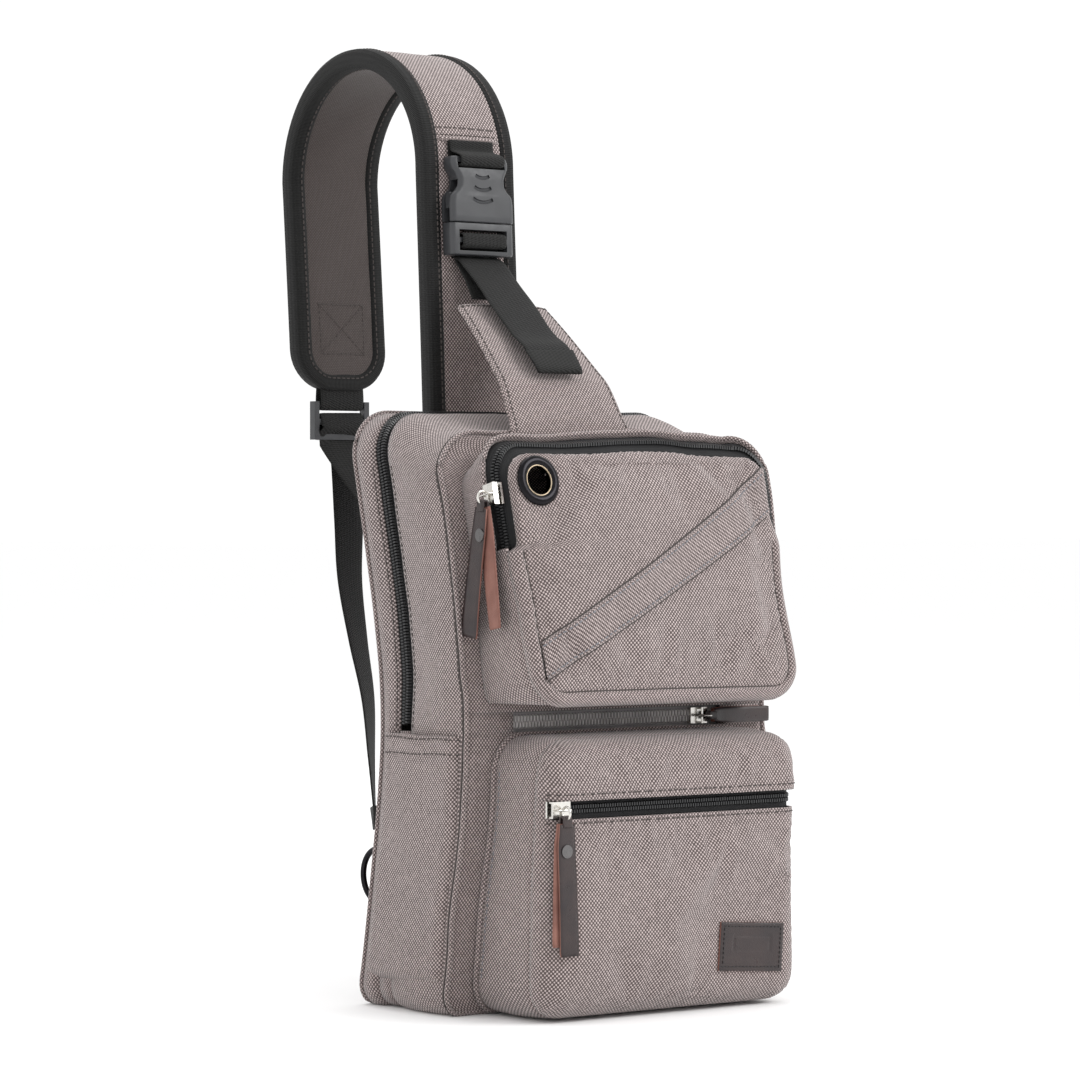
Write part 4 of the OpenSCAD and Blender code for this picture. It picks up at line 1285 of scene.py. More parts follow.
def make_side_pockets():
    """The open flat pockets on both sides, with their stitched hems."""
    for side, name in ((-1, "left"), (1, "right")):
        low, high = 16, 154
        front, back = FRONT_Y + 4, BACK_Y - 4
        columns, rows = 22, 34
        depth = 4.6 + 1.6

        def at(i, j, side=side):
            s = i / (columns - 1)
            t = j / (rows - 1)
            z = low + (high - low) * t
            y = surf_y(front + (back - front) * s, z)
            rim = min(1, s * (columns - 1) / 2.0, (1 - s) * (columns - 1) / 2.0, t * (rows - 1) / 2.0)
            out = depth * math.sin(math.pi / 2 * rim) * (0.82 + 0.18 * math.sin(math.pi * s))
            return slump((side * (BODY_W / 2 + out - 0.6), y, z))

        piece = grid(f"side_pocket_{name}_cloth", columns, rows, at, None, CANVAS)
        face_outwards(piece, (side, 0, 0))
        thicken(piece, CLOTH)
        ride(piece, "root", "canvas", f"side_pocket_{name}")
        tree = surface_tree([piece])
        for z in (high - 2.5, high - 11):
            path = [slump((side * (BODY_W / 2 + 20), surf_y(front + 2 + (back - front - 4) * k / 30, z), z))
                    for k in range(31)]
            ride(stitches(f"pocket_hem_{name}_{z:.0f}".replace(".", "_"), path, tree, (-side, 0, 0),
                          DARK_THREAD_AND_SHADOW), "root", "webbing")


# ---------- webbing, strap and tab ----------

def smooth_path(points, count):
    """Even Catmull-Rom samples through millimetre points."""
    pts = [Vector(p) for p in points]
    pts = [pts[0] * 2 - pts[1]] + pts + [pts[-1] * 2 - pts[-2]]
    fine = []
    for k in range(1, len(pts) - 2):
        p0, p1, p2, p3 = pts[k - 1:k + 3]
        for step in range(24):
            t = step / 24
            fine.append(0.5 * (2 * p1 + (p2 - p0) * t + (2 * p0 - 5 * p1 + 4 * p2 - p3) * t ** 2
                               + (3 * p1 - p0 - 3 * p2 + p3) * t ** 3))
    fine.append(pts[-2])
    total = sum((b - a).length for a, b in zip(fine, fine[1:]))
    out, travelled, goal = [fine[0]], 0.0, total / (count - 1)
    for a, b in zip(fine, fine[1:]):
        length = (b - a).length
        while length > 0 and travelled + length >= goal * len(out) and len(out) < count - 1:
            out.append(a + (b - a) * ((goal * len(out) - travelled) / length))
        travelled += length
    out.append(fine[-1])
    return out


def web(name, path, across, width, thickness, material=None, widths=None, count=40):
    """Flat webbing with soft selvedges along a smooth path. across is one vector, or one for each end."""
    centres = smooth_path(path, count)
    first, last = (across, across) if isinstance(across[0], (int, float)) else across
    first, last = Vector(first), Vector(last)
    section = [(-1, 0), (-0.96, 0.7), (-0.8, 1), (-0.3, 1), (0.3, 1), (0.8, 1), (0.96, 0.7), (1, 0),
               (0.96, -0.7), (0.8, -1), (0.3, -1), (-0.3, -1), (-0.8, -1), (-0.96, -0.7)]
    points, uvs, distance = [], [], 0.0
    for i, centre in enumerate(centres):
        before, after = centres[max(0, i - 1)], centres[min(count - 1, i + 1)]
        tangent = (after - before).normalized()
        t = i / (count - 1)
        side = first.lerp(last, t)
        side = (side - tangent * side.dot(tangent)).normalized()
        out = tangent.cross(side)
        distance += (centre - centres[max(0, i - 1)]).length
        half = width / 2 * (widths(t) if widths else 1)
        for a, b in section:
            points.append(centre + side * a * half + out * b * thickness / 2)
            uvs.append((a * half + 40, distance))
    n = len(section)
    faces = [(i * n + k, i * n + (k + 1) % n, (i + 1) * n + (k + 1) % n, (i + 1) * n + k)
             for i in range(count - 1) for k in range(n)]
    faces += [tuple(reversed(range(n))), tuple((count - 1) * n + k for k in range(n))]
    return make_mesh(name, points, faces, material or WEBBING, uvs)


STRAP_RUN = math.hypot(STRAP_FRONT[0] - STRAP_FOOT[0], STRAP_FRONT[1] - STRAP_FOOT[1])
STRAP_ARC = math.pi * STRAP_R
STRAP_BACK = (STRAP_FRONT[0] + 2 * STRAP_R, STRAP_FRONT[1])
STRAP_TAIL = math.hypot(STRAP_BACK[0] - STRAP_END[0], STRAP_BACK[1] - STRAP_END[1])
STRAP_LEN = STRAP_RUN + STRAP_ARC + STRAP_TAIL


def on_strap(u, v, o):
    """A point u across, v along from the foot, and o out from the strap's middle."""
    if v < STRAP_RUN:
        t = v / STRAP_RUN
        y, z = (a + (b - a) * t for a, b in zip(STRAP_FOOT, STRAP_FRONT))
        ny, nz = -1, 0
    elif v < STRAP_RUN + STRAP_ARC:
        a = math.pi - (v - STRAP_RUN) / STRAP_R
        ny, nz = math.cos(a), math.sin(a)
        y, z = STRAP_FRONT[0] + STRAP_R + STRAP_R * ny, STRAP_FRONT[1] + STRAP_R * nz
    else:
        t = (v - STRAP_RUN - STRAP_ARC) / STRAP_TAIL
        y, z = (a + (b - a) * t for a, b in zip(STRAP_BACK, STRAP_END))
        ny, nz = 1, 0
    give = math.sin(v / 37) * 0.5
    return Vector((STRAP_X + u, y + ny * (o + give * 0.3), z + nz * (o + give * 0.3)))


def strap_half(v, half, corner=24):
    """Half width of the strap, rounded off at its free end."""
    left = STRAP_LEN - v
    if left >= corner:
        return half
    return half - corner + math.sqrt(max(0.0, corner ** 2 - (corner - left) ** 2))


def make_strap():
    """The padded shoulder strap: both faces, foam, binding and stitches."""
    half = STRAP_W / 2 - 2.5
    last = STRAP_LEN - 1.6
    rows, columns = 170, 17

    def layer(name, side, material, node):
        def at(i, j):
            v = 1 + (last - 1) * j / (rows - 1)
            s = 2 * i / (columns - 1) - 1
            swell = 1.3 * (1 - s ** 4) + 0.25 * math.sin(v / 9 + s * 3) * (1 - s * s)
            return on_strap(s * max(0.5, strap_half(v, half)), v, side * (4.1 + swell))

        def uv(i, j):
            return (2 * i / (columns - 1) - 1) * half, (last - 1) * j / (rows - 1)

        piece = grid(name, columns, rows, at, uv, material)
        face_outwards_local(piece, side)
        thicken(piece, 1.2)
        # The inner layer's cloth is the outer canvas painted darker as shade, not a darker fabric.
        ride(piece, "root", "canvas" if side > 0 else "dark_fabric", node)
        return piece

    outer = layer("strap_outer_cloth", 1, CANVAS, "strap_outer")
    # The inner face takes the darkened weave: painted shade on the same canvas.
    inner = layer("strap_inner_cloth", -1, STRAP_CLOTH_PAINTED_SHADE, "strap_inner")

    def foam_at(i, j):
        v = 2 + (last - 6) * j / 119
        s = i / 6 - 1
        return on_strap(s * max(0.5, strap_half(v, half - 3, 21)), v, 0)

    foam = grid("strap_foam_core", 13, 120, foam_at, lambda i, j: (i, j), FOAM)
    thicken(foam, 4.6, 0)
    ride(foam, "root", "foam", "strap_foam")

    edge = []
    wide = STRAP_W / 2
    corner = 24
    for v in range(1, int(STRAP_LEN - corner), 3):
        edge.append((-wide, v, -1, 0))
    for k in range(13):
        a = math.radians(180 - 90 * k / 12)
        edge.append((-wide + corner + corner * math.cos(a), STRAP_LEN - corner + corner * math.sin(a),
                     math.cos(a), math.sin(a)))
    for k in range(1, 4):
        edge.append((-wide + corner + (2 * wide - 2 * corner) * k / 4, STRAP_LEN, 0, 1))
    edge += [(-u, v, -a, b) for u, v, a, b in reversed(edge[:-3])]
    section = [(9.6, 4.7), (7, 5.6), (3, 5.6), (1, 5.2), (0.1, 3.4), (0, 0), (0.1, -3.4), (1, -5.2),
               (3, -5.6), (7, -5.6), (9.6, -4.7)]

    def at(i, j):
        u, v, nu, nv = edge[i]
        d, o = section[j]
        return on_strap(u - nu * d, v - nv * d, o)

    lengths = [0]
    for a, b in zip(edge, edge[1:]):
        lengths.append(lengths[-1] + math.hypot(b[0] - a[0], b[1] - a[1]))
    binding = grid("strap_binding_tape", len(edge), len(section), at, lambda i, j: (j * 2.2, lengths[i]),
                   BINDING)
    thicken(binding, 0.7, 0)
    ride(binding, "root", "binding", "strap_binding")

    def sewn(name, path, side, tree):
        """Stitches along a (u, v) path on one face of the strap."""
        places = []
        for point, tangent, _ in resample([on_strap(u, v, side * 11) for u, v in path], 3.4):
            hit, normal, _, _ = tree.find_nearest(point)
            along = (tangent - normal * tangent.dot(normal)).normalized()
            places.append((hit + normal * 0.1, along, normal if normal.dot(point - hit) > 0 else -normal))
        return pegs(name, places, (1.2, 0.4, 0.3), DARK_THREAD_AND_SHADOW)

    binding_tree = surface_tree([binding])
    for side, name in ((1, "out"), (-1, "in")):
        path = [(u - nu * 8.2, v - nv * 8.2) for u, v, nu, nv in edge]
        ride(sewn(f"binding_stitch_{name}", path, side, binding_tree), "root", "webbing")
    seam_v = STRAP_RUN + 18.5
    fold = [on_strap(u, seam_v - 2.6, 6.0 - 2.2 * (u / 21) ** 6) for u in range(-21, 22, 2)]
    ride(lay_tube("strap_seam_fold", fold, 1.6, CANVAS, 10), "root", "canvas")
    outer_tree, inner_tree = surface_tree([outer]), surface_tree([inner])
    for k in (0, 4):
        ride(sewn(f"strap_seam_{k}", [(-22, seam_v + k), (22, seam_v + k)], 1, outer_tree),
             "root", "webbing")
    v0, v1 = STRAP_LEN - 52, STRAP_LEN - 22
    box = [(-16, v0), (16, v0), (16, v1), (-16, v1), (-16, v0), (16, v1)]
    ride(sewn("strap_box_stitch", box, -1, inner_tree), "root", "webbing")
    ride(sewn("strap_box_cross", [(16, v0), (-16, v1)], -1, inner_tree), "root", "webbing")


def face_outwards_local(piece, side):
    """Turns the strap layer so that its normals face away from the strap's middle."""
    with editing(piece) as mesh:
        mesh.faces.ensure_lookup_table()
        if mesh.faces[len(mesh.faces) // 8].normal.y * side > 0:
            bmesh.ops.reverse_faces(mesh, faces=mesh.faces)


BUCKLE = Vector((STRAP_X, STRAP_FOOT[0] + (450 - STRAP_FOOT[1]) * math.tan(STRAP_LEAN), 450))


def on_buckle(x, y, z):
    """A point given in the buckle's own leaning frame."""
    return BUCKLE + Vector((x, y * math.cos(STRAP_LEAN) + z * math.sin(STRAP_LEAN),
                            z * math.cos(STRAP_LEAN) - y * math.sin(STRAP_LEAN)))


ALONG_X = (1, 0, 0)


def loft_block(name, rings, bevel):
    """A closed solid of the buckle through (z, half width, y front, y back) rings, with rounded edges."""
    points, faces = [], []
    for z, half, front, back in rings:
        for x, y in ((-half, back), (-half, front + 1.6), (-half + 2.4, front), (half - 2.4, front),
                     (half, front + 1.6), (half, back)):
            points.append(on_buckle(x, y, z))
    n = 6
    for j in range(len(rings) - 1):
        for k in range(n):
            m = (k + 1) % n
            faces.append((j * n + k, j * n + m, (j + 1) * n + m, (j + 1) * n + k))
    faces.append(tuple(range(n)))
    faces.append(tuple((len(rings) - 1) * n + k for k in range(n)))
    piece = make_mesh(name, points, faces, PLASTIC)
    recalc_normals(piece)
    edge = piece.modifiers.new("bevel", "BEVEL")
    edge.width = bevel * MM
    edge.segments = 3
    edge.limit_method = "ANGLE"
    edge.angle_limit = math.radians(28)
    return apply_modifiers(piece)


def cut_out(piece, cutters):
    """Takes the cutters out of a solid and deletes them."""
    for cutter in cutters:
        cut = piece.modifiers.new("cut", "BOOLEAN")
        cut.operation = "DIFFERENCE"
        cut.solver = "EXACT"
        cut.object = cutter
        apply_modifiers(piece)
        mesh = cutter.data
        bpy.data.objects.remove(cutter)
        bpy.data.meshes.remove(mesh)
    shade_smooth(piece.data)
    piece.data.set_sharp_from_angle(angle=math.radians(26))
    return piece


def box_cutter(low, high):
    """A box to cut out of the buckle, between two corners in its frame."""
    corners = [on_buckle(x, y, z) for z in (low[2], high[2]) for x, y in
               ((low[0], low[1]), (high[0], low[1]), (high[0], high[1]), (low[0], high[1]))]
    return make_mesh("cutter", corners, BOX_FACES, PLASTIC, smooth=False)


def arc_cutter(z, radius, rise):
    """A narrow curved groove on the buckle's face."""
    path = [on_buckle(radius * math.sin(a), -17.1, z - rise + radius * (1 - math.cos(a)))
            for a in (math.radians(d) for d in range(-34, 35, 6))]
    cutter = lay_tube("cutter", path, 1.15, PLASTIC, 8)
    recalc_normals(cutter)
    return cutter


def make_buckle():
    """The socket and the ladder half of the side-release buckle."""
    rings = [(-8, 22.4, -17, -6), (-4, 22.4, -17, -6), (3, 22.4, -17, -6), (7.5, 21.6, -17, -6),
             (10, 18.6, -17, -6), (13, 16.6, -17, -6), (17, 16.4, -17, -6), (20, 17.6, -16.8, -6),
             (23.5, 19.8, -16.2, -6), (27, 20.4, -15.6, -6), (30, 19.6, -15.0, -6.4)]
    body = loft_block("buckle_socket", rings, 0.9)
    cutters = [box_cutter((-17.5, -14.7, -9), (17.5, -8.2, 16.5)),
               box_cutter((-30, -14.2, -9), (30, -8.9, 12)),
               box_cutter((-16.8, -18, 23), (16.8, -4, 26.4))]
    cutters += [arc_cutter(z, radius, 0) for z, radius in ((17.5, 9), (10.5, 11), (3.5, 13))]
    cut_out(body, cutters)
    ride(body, "root", "plastic", "buckle_female")
    frame_rings = [(-27, 21.8, -15.6, -7.4), (-26, 22.4, -16, -7), (-14, 22.4, -16, -7),
                   (-8.4, 22.4, -16, -7)]
    male = loft_block("buckle_ladder", frame_rings, 0.8)
    cut_out(male, [box_cutter((-17, -18, -24.5), (17, -4, -19.9)),
                   box_cutter((-17, -18, -17), (17, -4, -12.4))])
    guide_rings = [(-9, 3.5, -13.5, -9.5), (12, 3.4, -13.5, -9.5), (13, 2.6, -13.1, -9.9)]
    guide = loft_block("buckle_guide", guide_rings, 0.3)
    ride(join("buckle_ladder", [male, guide]), "buckle_male", "plastic", "buckle_male")


def cut_strap(strap, y, name):
    """Cuts a strap in two at the plane y. It keeps its front length, and the new piece is the rest."""
    rest = copy_of(strap, name)
    for piece, front in ((strap, True), (rest, False)):
        with editing(piece) as mesh:
            gone = [f for f in mesh.faces if (f.calc_center_median().y > y) == front]
            bmesh.ops.delete(mesh, geom=gone, context="FACES")
    return rest


def make_webbing():
    """Webbing around the buckle, the bridge over the zip and the free tail."""
    loop = [(-5.0, 40), (-5.0, 31), (-5.3, 25.6), (-11, 24.6), (-17.2, 25.4), (-17.4, 29.5), (-13, 31.8),
            (-7.6, 34), (-6.7, 40)]
    anchor = web("buckle_anchor_webbing", [on_buckle(0, y, z) for y, z in loop], ALONG_X,
                 WEB_W - 0.6, WEB_THICK, count=56)
    ride(anchor, "root", "webbing", "buckle_anchor")
    through = [(-6.0, -28), (-6.0, -19), (-7, -15.2), (-11.5, -14.6), (-16.8, -15.4), (-17.4, -18.4),
               (-16.8, -21.6), (-11.5, -22.3), (-7.5, -23.2), (-6.0, -28)]
    wrap = web("buckle_male_webbing", [on_buckle(0, y, z) for y, z in through], ALONG_X,
               WEB_W - 0.6, WEB_THICK, count=56)
    ride(wrap, "buckle_male", "webbing")
    bridge = [(31.8, 398), (38, 408), (46, 418), (50.8, 424)]
    tail = [(51.2, 423), (44.0, 420), (33.5, 411), (24.5, 403), (12, 391), (2.5, 381.5), (-4.5, 375.5),
            (-14, 369.5), (-22, 359.5), (-25.6, 354.6), (-24.4, 358.2), (-16.6, 367.4)]
    bridge_web = web("buckle_bridge_webbing", [(STRAP_X, y, z) for y, z in bridge], ALONG_X, WEB_W, 1.4)
    hanging = [(STRAP_X + (z < 400) * (400 - z) * 0.06, y - 0.4, z) for y, z in tail]
    tail_web = web("buckle_tail_webbing", hanging, ALONG_X, WEB_W, 1.4, count=90,
                   widths=lambda t: 1 + 0.07 * ease(0.8, 1, t) + 0.02 * math.sin(t * 20))
    for piece, end in ((bridge_web, (0, 0.0318, 0.398)), (tail_web, (0, 0.022, 0.400))):
        upper = cut_strap(piece, 0.0335, piece.name.replace("webbing", "upper"))
        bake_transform(upper)
        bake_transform(piece)
        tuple(end)
    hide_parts("buckle_webbing")
    y0 = STRAP_END[0]
    loop = [(y0 + 1.6, 356), (y0 + 2.4, 349), (y0 + 2.7, 343), (y0 + 1.5, 338.9), (y0, 338.2),
            (y0 - 1.5, 338.9), (y0 - 2.7, 343), (y0 - 2.4, 349), (y0 - 1.6, 356)]
    end_loop = web("strap_end_webbing", [(STRAP_X, y, z) for y, z in loop], ALONG_X,
                   WEB_W - 0.6, WEB_THICK, count=44)
    ride(end_loop, "root", "webbing", "strap_end_loop")
    make_load_webbing()


def make_load_webbing():
    """The adjuster webbing from the hook up to the ladder lock, and its free tail."""
    y0 = STRAP_END[0]
    apex = Vector((RING_X, 50, RING_Z))
    top = Vector((STRAP_X, y0 + 1, 319))
    run = (top - apex).normalized()
    slant = (Vector(ALONG_X) - run * run.x).normalized()
    frame_at = 34
    start = apex + run * (frame_at + 6)
    under = run.cross(slant)
    path = [apex + run * (frame_at + 19) + under * 1.6, start + under * 2.6, start - run * 4.4,
            start - under * 2.6, apex + run * (frame_at + 22) - under * 0.6]
    path += [apex.lerp(top, t) + Vector((0, 2.0 * math.sin(math.pi * t), 0)) for t in (0.4, 0.55, 0.7, 0.85)]
    path += [Vector((STRAP_X, y0 - 1.5, 318)), Vector((STRAP_X, y0 - 3.8, 326)),
             Vector((STRAP_X, y0 - 1, 335.6)), Vector((STRAP_X, y0 + 3.4, 331)),
             Vector((STRAP_X, y0 + 2.0, 326)), Vector((STRAP_X, y0 + 3.6, 320))]
    load = web("load_webbing_strap", path, (slant, ALONG_X), WEB_W - 1, WEB_THICK, count=110)
    ride(load, "root", "webbing", "load_webbing")
    tail_x = STRAP_X + 8
    tail = [(tail_x, y0 + 4.5, 319), (tail_x + 1, y0 + 4.4, 300), (tail_x, 188, 270), (tail_x - 2, 184, 236),
            (tail_x - 1, 177, 200), (tail_x + 2, 171, 165), (tail_x + 1, 166, 130), (tail_x, 162, 104),
            (tail_x, 160, 88)]
    hang = web("adjuster_tail_webbing", tail, (ALONG_X, (0.55, 0.8, 0)), WEB_W - 7, WEB_THICK, count=90)
    ride(hang, "adjuster_tail", "webbing", "adjuster_tail")
    hem = web("adjuster_tail_hem", [(tail_x, 161.6, 100), (tail_x, 160.6, 93), (tail_x, 159.8, 86.5)],
              ((0.5, 0.84, 0), (0.55, 0.8, 0)), WEB_W - 5.5, 3.6, count=10)
    ride(hem, "adjuster_tail", "webbing")
    loops = []
    for side in (-1, 1):
        x, y, z = side * RING_X, RING_Y, RING_Z
        y_panel = surf_y(BACK_Y, z) + 1.2
        ring = [(x - 1.2, y_panel - 1, z), (x - 1.5, y - 4, z), (x - 2.6, y, z), (x - 1.8, y + 2.2, z),
                (x, y + 2.8, z), (x + 1.8, y + 2.2, z), (x + 2.6, y, z), (x + 1.5, y - 4, z),
                (x + 1.2, y_panel - 1, z)]
        name = "ring_loop_left" if side < 0 else "ring_loop_right"
        loops.append(web(name, ring, (0, 0, 1), 25, 1.2, count=44))
    both = join("ring_loops_webbing", loops)
    ride(both, "root", "webbing", "d_ring_tabs")


def make_tab():
    """Two-layer canvas tab sewn across the top of the front panel."""
    top, low_z = Vector((30, 394)), 316
    centre_x, wide_top, wide_low = -15, 64, 95
    path = smooth_path([(0, top.x, top.y), (0, 10, 376.5), (0, -14, 354.5), (0, -29, 340), (0, -35.8, 331),
                        (0, -38.4, low_z)], 38)
    rise = top.y - low_z

    def half(z):
        if z < low_z + 14:
            return (wide_low - 8 * (z - low_z) / 14) / 2
        t = (z - low_z - 14) / (rise - 14)
        return (wide_low - 8 + (wide_top - wide_low + 8) * t ** 0.85) / 2

    columns = 25

    def at(i, j):
        _, y, z = path[j]
        s = 2 * i / (columns - 1) - 1
        t = j / (len(path) - 1)
        rim = 1 - abs(s) ** 6
        wave = 0.35 * math.sin(s * 5 + t * 7) * rim
        sag = -1.5 * s * s * (1 - t) * math.sin(math.pi * min(1, t * 2)) + wave
        p = Vector((centre_x + s * half(z), y - 1.2 - 1.0 * rim + sag * 0.7,
                    z + 1.4 * rim * (z > 335) + 0.3))
        p.z -= droop(p)
        return p

    piece = grid("tab_cloth", columns, len(path), at, None, CANVAS)
    face_outwards(piece, (0, -1, 1))
    thicken(piece, 2.6, -1, 1)
    ride(piece, "front_flap", "canvas", "tab")
    tree = surface_tree([piece])
    rows = [[at(1 if side < 0 else columns - 2, j) for j in range(1, len(path) - 1)] for side in (-1, 1)]
    rows.append([at(i, 1) for i in range(1, columns - 1)])
    rows = [[p + Vector((0, -6, 6)) for p in row] for row in rows]
    for k, row in enumerate(rows):
        ride(stitches(f"tab_stitch_{k}", row, tree, (0, 0.72, -0.7), DARK_THREAD_AND_SHADOW), "front_flap", "webbing")


# ---------- leather pulls, hardware and finish ----------

def leather_mesh(name, points, faces, slots):
    """Leather whose faces in slot 1 show the raw side or a cut edge."""
    piece = make_mesh(name, points, faces, LEATHER)
    piece.data.materials.append(RAW_EDGE)
    for polygon, slot in zip(piece.data.polygons, slots):
        polygon.material_index = slot
    return piece


def leaf(name, root_point, down, across, out, width, length, thickness, curl, twist, shift, raw):
    """A tongue of leather with rounded end and raw edges, hung from root_point."""
    down, across, out = (Vector(v).normalized() for v in (down, across, out))
    rows, columns = 26, 7
    points, faces, slots = [], [], []
    for face in (0, 1):
        for j in range(rows):
            t = j / (rows - 1)
            near_end = max(0.0, 1 - (1 - t) * length / (width * 0.16))
            half = width / 2 * (0.86 + 0.14 * min(1, t * 5)) * (1 - 0.07 * near_end ** 2)
            turn = twist * t * t
            side = across * math.cos(turn) + out * math.sin(turn)
            bow = curl * math.sin(math.pi * 0.9 * t) * 0.5 + curl * 0.4 * t * t
            lift = out * (bow + shift * ease(0, 0.2, t))
            for i in range(columns):
                s = 2 * i / (columns - 1) - 1
                edge = 0.14 * thickness * abs(s) ** 6
                depth = (thickness / 2 - edge) * (1 if face == 0 else -1)
                points.append(root_point + down * t * length + side * s * half + lift + out * depth)
    n = rows * columns
    for j in range(rows - 1):
        for i in range(columns - 1):
            a = j * columns + i
            faces.append((a, a + 1, a + columns + 1, a + columns))
            slots.append(1 if raw else 0)
            faces.append((n + a + columns, n + a + columns + 1, n + a + 1, n + a))
            slots.append(0 if raw else 1)
    rim = [j * columns for j in range(rows)] + [(rows - 1) * columns + i for i in range(1, columns)]
    rim += [j * columns + columns - 1 for j in range(rows - 2, -1, -1)] + list(range(columns - 2, 0, -1))
    for a, b in zip(rim, rim[1:] + rim[:1]):
        faces.append((a, b, n + b, n + a))
        slots.append(1)
    piece = leather_mesh(name, points, faces, slots)
    recalc_normals(piece)
    return piece


def ring_wrap(name, centre, across, down, out, width):
    """The turned top of a leather pull where it passes through its ring."""
    path = [centre + Vector(out) * 1.7 * math.cos(a) - Vector(down) * 1.7 * math.sin(a)
            for a in (math.radians(d) for d in range(-20, 201, 20))]
    front, rear = (centre + Vector(out) * side + Vector(down) * 4 for side in (1.7, -1.7))
    path = [front] + path + [rear]
    return web(name, path, across, width, 1.3, LEATHER, count=30)


def make_pull(name, node, down, across, out, curls, twists, width, fan):
    """A turned strip of leather through its ring, with two leaves that hang apart by `fan`."""
    low, high = span(node)
    down, across, out = Vector(down), Vector(across), Vector(out)
    middle = (low + high) / 2
    ring_low, ring_high = span(node.replace("leather", "ring"))
    ring_middle = (ring_low + ring_high) / 2
    reach = max((Vector(c) - ring_middle).dot(down) for c in (low, high))
    ring_end = ring_middle + down * 3.3
    hang = ring_end + out * (middle - ring_middle).dot(out) * 0.4
    length = reach - 3.3
    pieces = [ring_wrap(f"{name}_turn", hang + down * 0.3, across, down, out, width * 0.52)]
    for k, (curl, twist) in enumerate(zip(curls, twists)):
        sign = -1 if k else 1
        tilt = fan * sign
        direction = (down + across * tilt).normalized()
        pieces.append(leaf(f"{name}_leaf_{k}", hang + down * 2.4 + out * sign * 0.95, direction,
                           across - down * tilt, out, width, length - 2.6 - 5 * k, 1.4, curl, twist,
                           (middle - ring_middle).dot(out) * 0.6, k == 1))
    ride(join(f"{name}_strip", pieces), name, "leather", node)


def make_pulls():
    right, left, up, down, front, back = (1, 0, 0), (-1, 0, 0), (0, 0, 1), (0, 0, -1), (0, -1, 0), (0, 1, 0)
    for name, *axes, curls, twists, width, fan in (
            ("lower_pull", down, right, front, (1.2, 0.3), (0.1, -0.1), 11.6, 0.03),
            ("upper_pull", down, front, left, (1.4, 0.2), (-0.2, 0.15), 11.6, -0.15),
            ("main_pull", down, back, right, (1.0, 0.1), (0.1, 0), 11.6, 0.05),
            ("recess_pull", right, up, front, (0.6, 0), (0, 0), 8.8, 0)):
        make_pull(name, f"{name}_leather", *axes, curls, twists, width, fan)


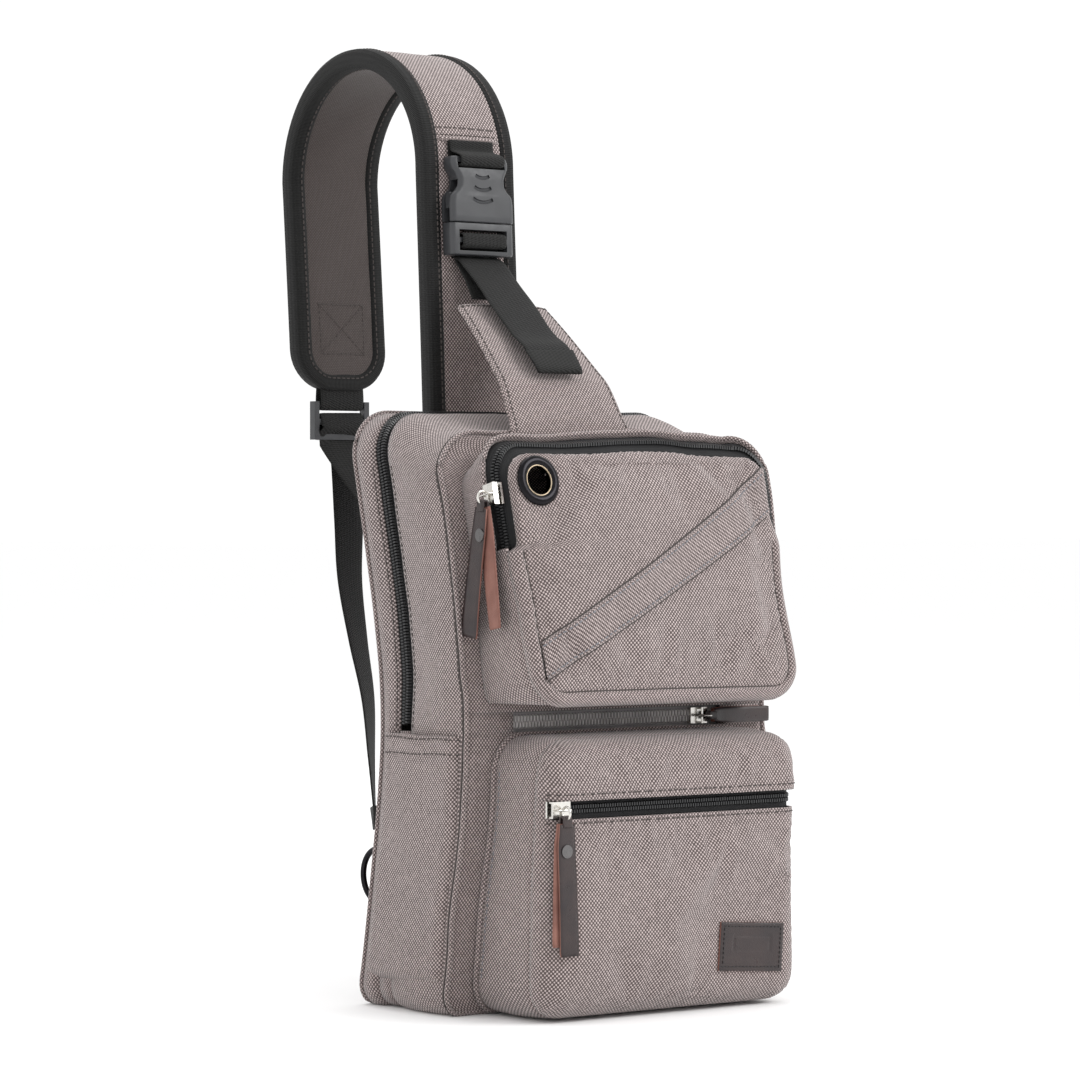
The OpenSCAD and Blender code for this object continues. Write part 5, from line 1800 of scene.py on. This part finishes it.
def make_patch():
    """Leather label with a stitched border and a plain embossed bar instead of any lettering."""
    low, high = span("leather_patch")
    centre = Vector(((low.x + high.x) / 2, high.y, (low.z + high.z) / 2))
    width, height, lean = 46, 27, math.radians(-4)
    columns, rows = 60, 36

    def turned(x, y, z):
        """A point of the label, which sits a little askew."""
        across = x * math.cos(lean) - z * math.sin(lean)
        return centre + Vector((across, y, z * math.cos(lean) + x * math.sin(lean)))

    def at(i, j, lift):
        s, t = 2 * i / (columns - 1) - 1, 2 * j / (rows - 1) - 1
        x, z = s * width / 2, t * height / 2
        rim = 0.35 * max(abs(s), abs(t)) ** 14
        upright = abs(abs(x) - 13) < 0.8 and abs(z - 2) < 4.0
        level = abs(abs(z - 2) - 4) < 0.6 and abs(x) < 13
        pressed = 0.28 if upright or level else 0
        pressed = max(pressed, 0.25 if abs(z + 6.5) < 0.7 and abs(x) < 7 else 0)
        return turned(x, -lift + rim + pressed * (lift > 1), z)

    front = [at(i, j, 1.65) for j in range(rows) for i in range(columns)]
    rear = [at(i, j, 0.1) for j in range(rows) for i in range(columns)]
    n = rows * columns
    faces, slots = [], []
    for j in range(rows - 1):
        for i in range(columns - 1):
            a = j * columns + i
            faces.append((a, a + 1, a + columns + 1, a + columns))
            faces.append((n + a + columns, n + a + columns + 1, n + a + 1, n + a))
            slots += [0, 1]
    rim = list(range(columns)) + [j * columns + columns - 1 for j in range(1, rows)]
    rim += [(rows - 1) * columns + i for i in range(columns - 2, -1, -1)]
    rim += [j * columns for j in range(rows - 2, 0, -1)]
    for a, b in zip(rim, rim[1:] + rim[:1]):
        faces.append((b, a, n + a, n + b))
        slots.append(1)
    piece = leather_mesh("leather_label", front + rear, faces, slots)
    ride(piece, "root", "leather", "leather_patch")
    tree = surface_tree([piece])
    border = [turned(20.6 * a, -6, 11.2 * b) for a, b in ((-1, -1), (1, -1), (1, 1), (-1, 1), (-1, -1))]
    ride(stitches("label_stitch", border, tree, (0, 1, 0), COIL, 2.6, 1.7, 0.55), "root", "leather")


FINISH = {
    "metal": (NICKEL, "main_slider", "recess_slider", "lower_slider", "upper_slider", "main_pull_ring",
              "recess_pull_ring", "lower_pull_ring", "upper_pull_ring"),
    "dark_metal": (GUNMETAL, "grommet_back", "d_ring_left", "d_ring_right"),
    "studs": (STUD, "main_pull_rivet", "lower_pull_rivet", "upper_pull_rivet"),
    "moulded": (PLASTIC, "prong_left", "prong_right", "ladder_lock", "strap_hook"),
    "inside": (FOAM, "back_foam"),
    "cloth": (LINING, "rear_lining"),
}


def finish_nodes():
    for material, *nodes in FINISH.values():
        for node in nodes:
            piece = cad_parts[node]
            piece = piece if hasattr(piece, "data") else bpy.data.objects[node]
            if not piece.material_slots:
                piece.data.materials.append(material)
            for slot in piece.material_slots:
                slot.material = material


def make_eyelet():
    """Domed eyelet ring with a worn inner lip."""
    profile = [(14, 0.0), (13.9, 0.7), (13.3, 1.4), (12.3, 1.9), (11.2, 2.1), (10.1, 2.0), (9.1, 1.6),
               (8.4, 0.9), (8.0, 0.0), (7.8, -1.2)]

    def at(i, j):
        a = 2 * math.pi * i / 64
        r, out = profile[j]
        return on_pocket(GROMMET_X + r * math.cos(a), -0.9 - out, GROMMET_Z + r * math.sin(a))

    ring = grid("eyelet_ring", 64, len(profile), at, None, GUNMETAL, closed=True)
    recalc_normals(ring)
    face_outwards(ring)
    ride(thicken(ring, 0.4), "front_flap", "gunmetal", "grommet_front")
    path = []
    for k in range(48):
        a = 2 * math.pi * k / 48
        path.append(on_pocket(GROMMET_X + 8.4 * math.cos(a), -1.75, GROMMET_Z + 8.4 * math.sin(a)))
    ride(lay_tube("grommet_lip", path, 0.5, BRASSY, 10, closed=True), "front_flap", "gunmetal")


make_camera()
make_studio()
make_body()
make_side_pockets()
make_recess_zip()
make_upper_pocket()
make_lower_pocket()
make_strap()
make_tab()
make_webbing()
make_buckle()
make_pulls()
make_patch()
finish_nodes()
make_eyelet()
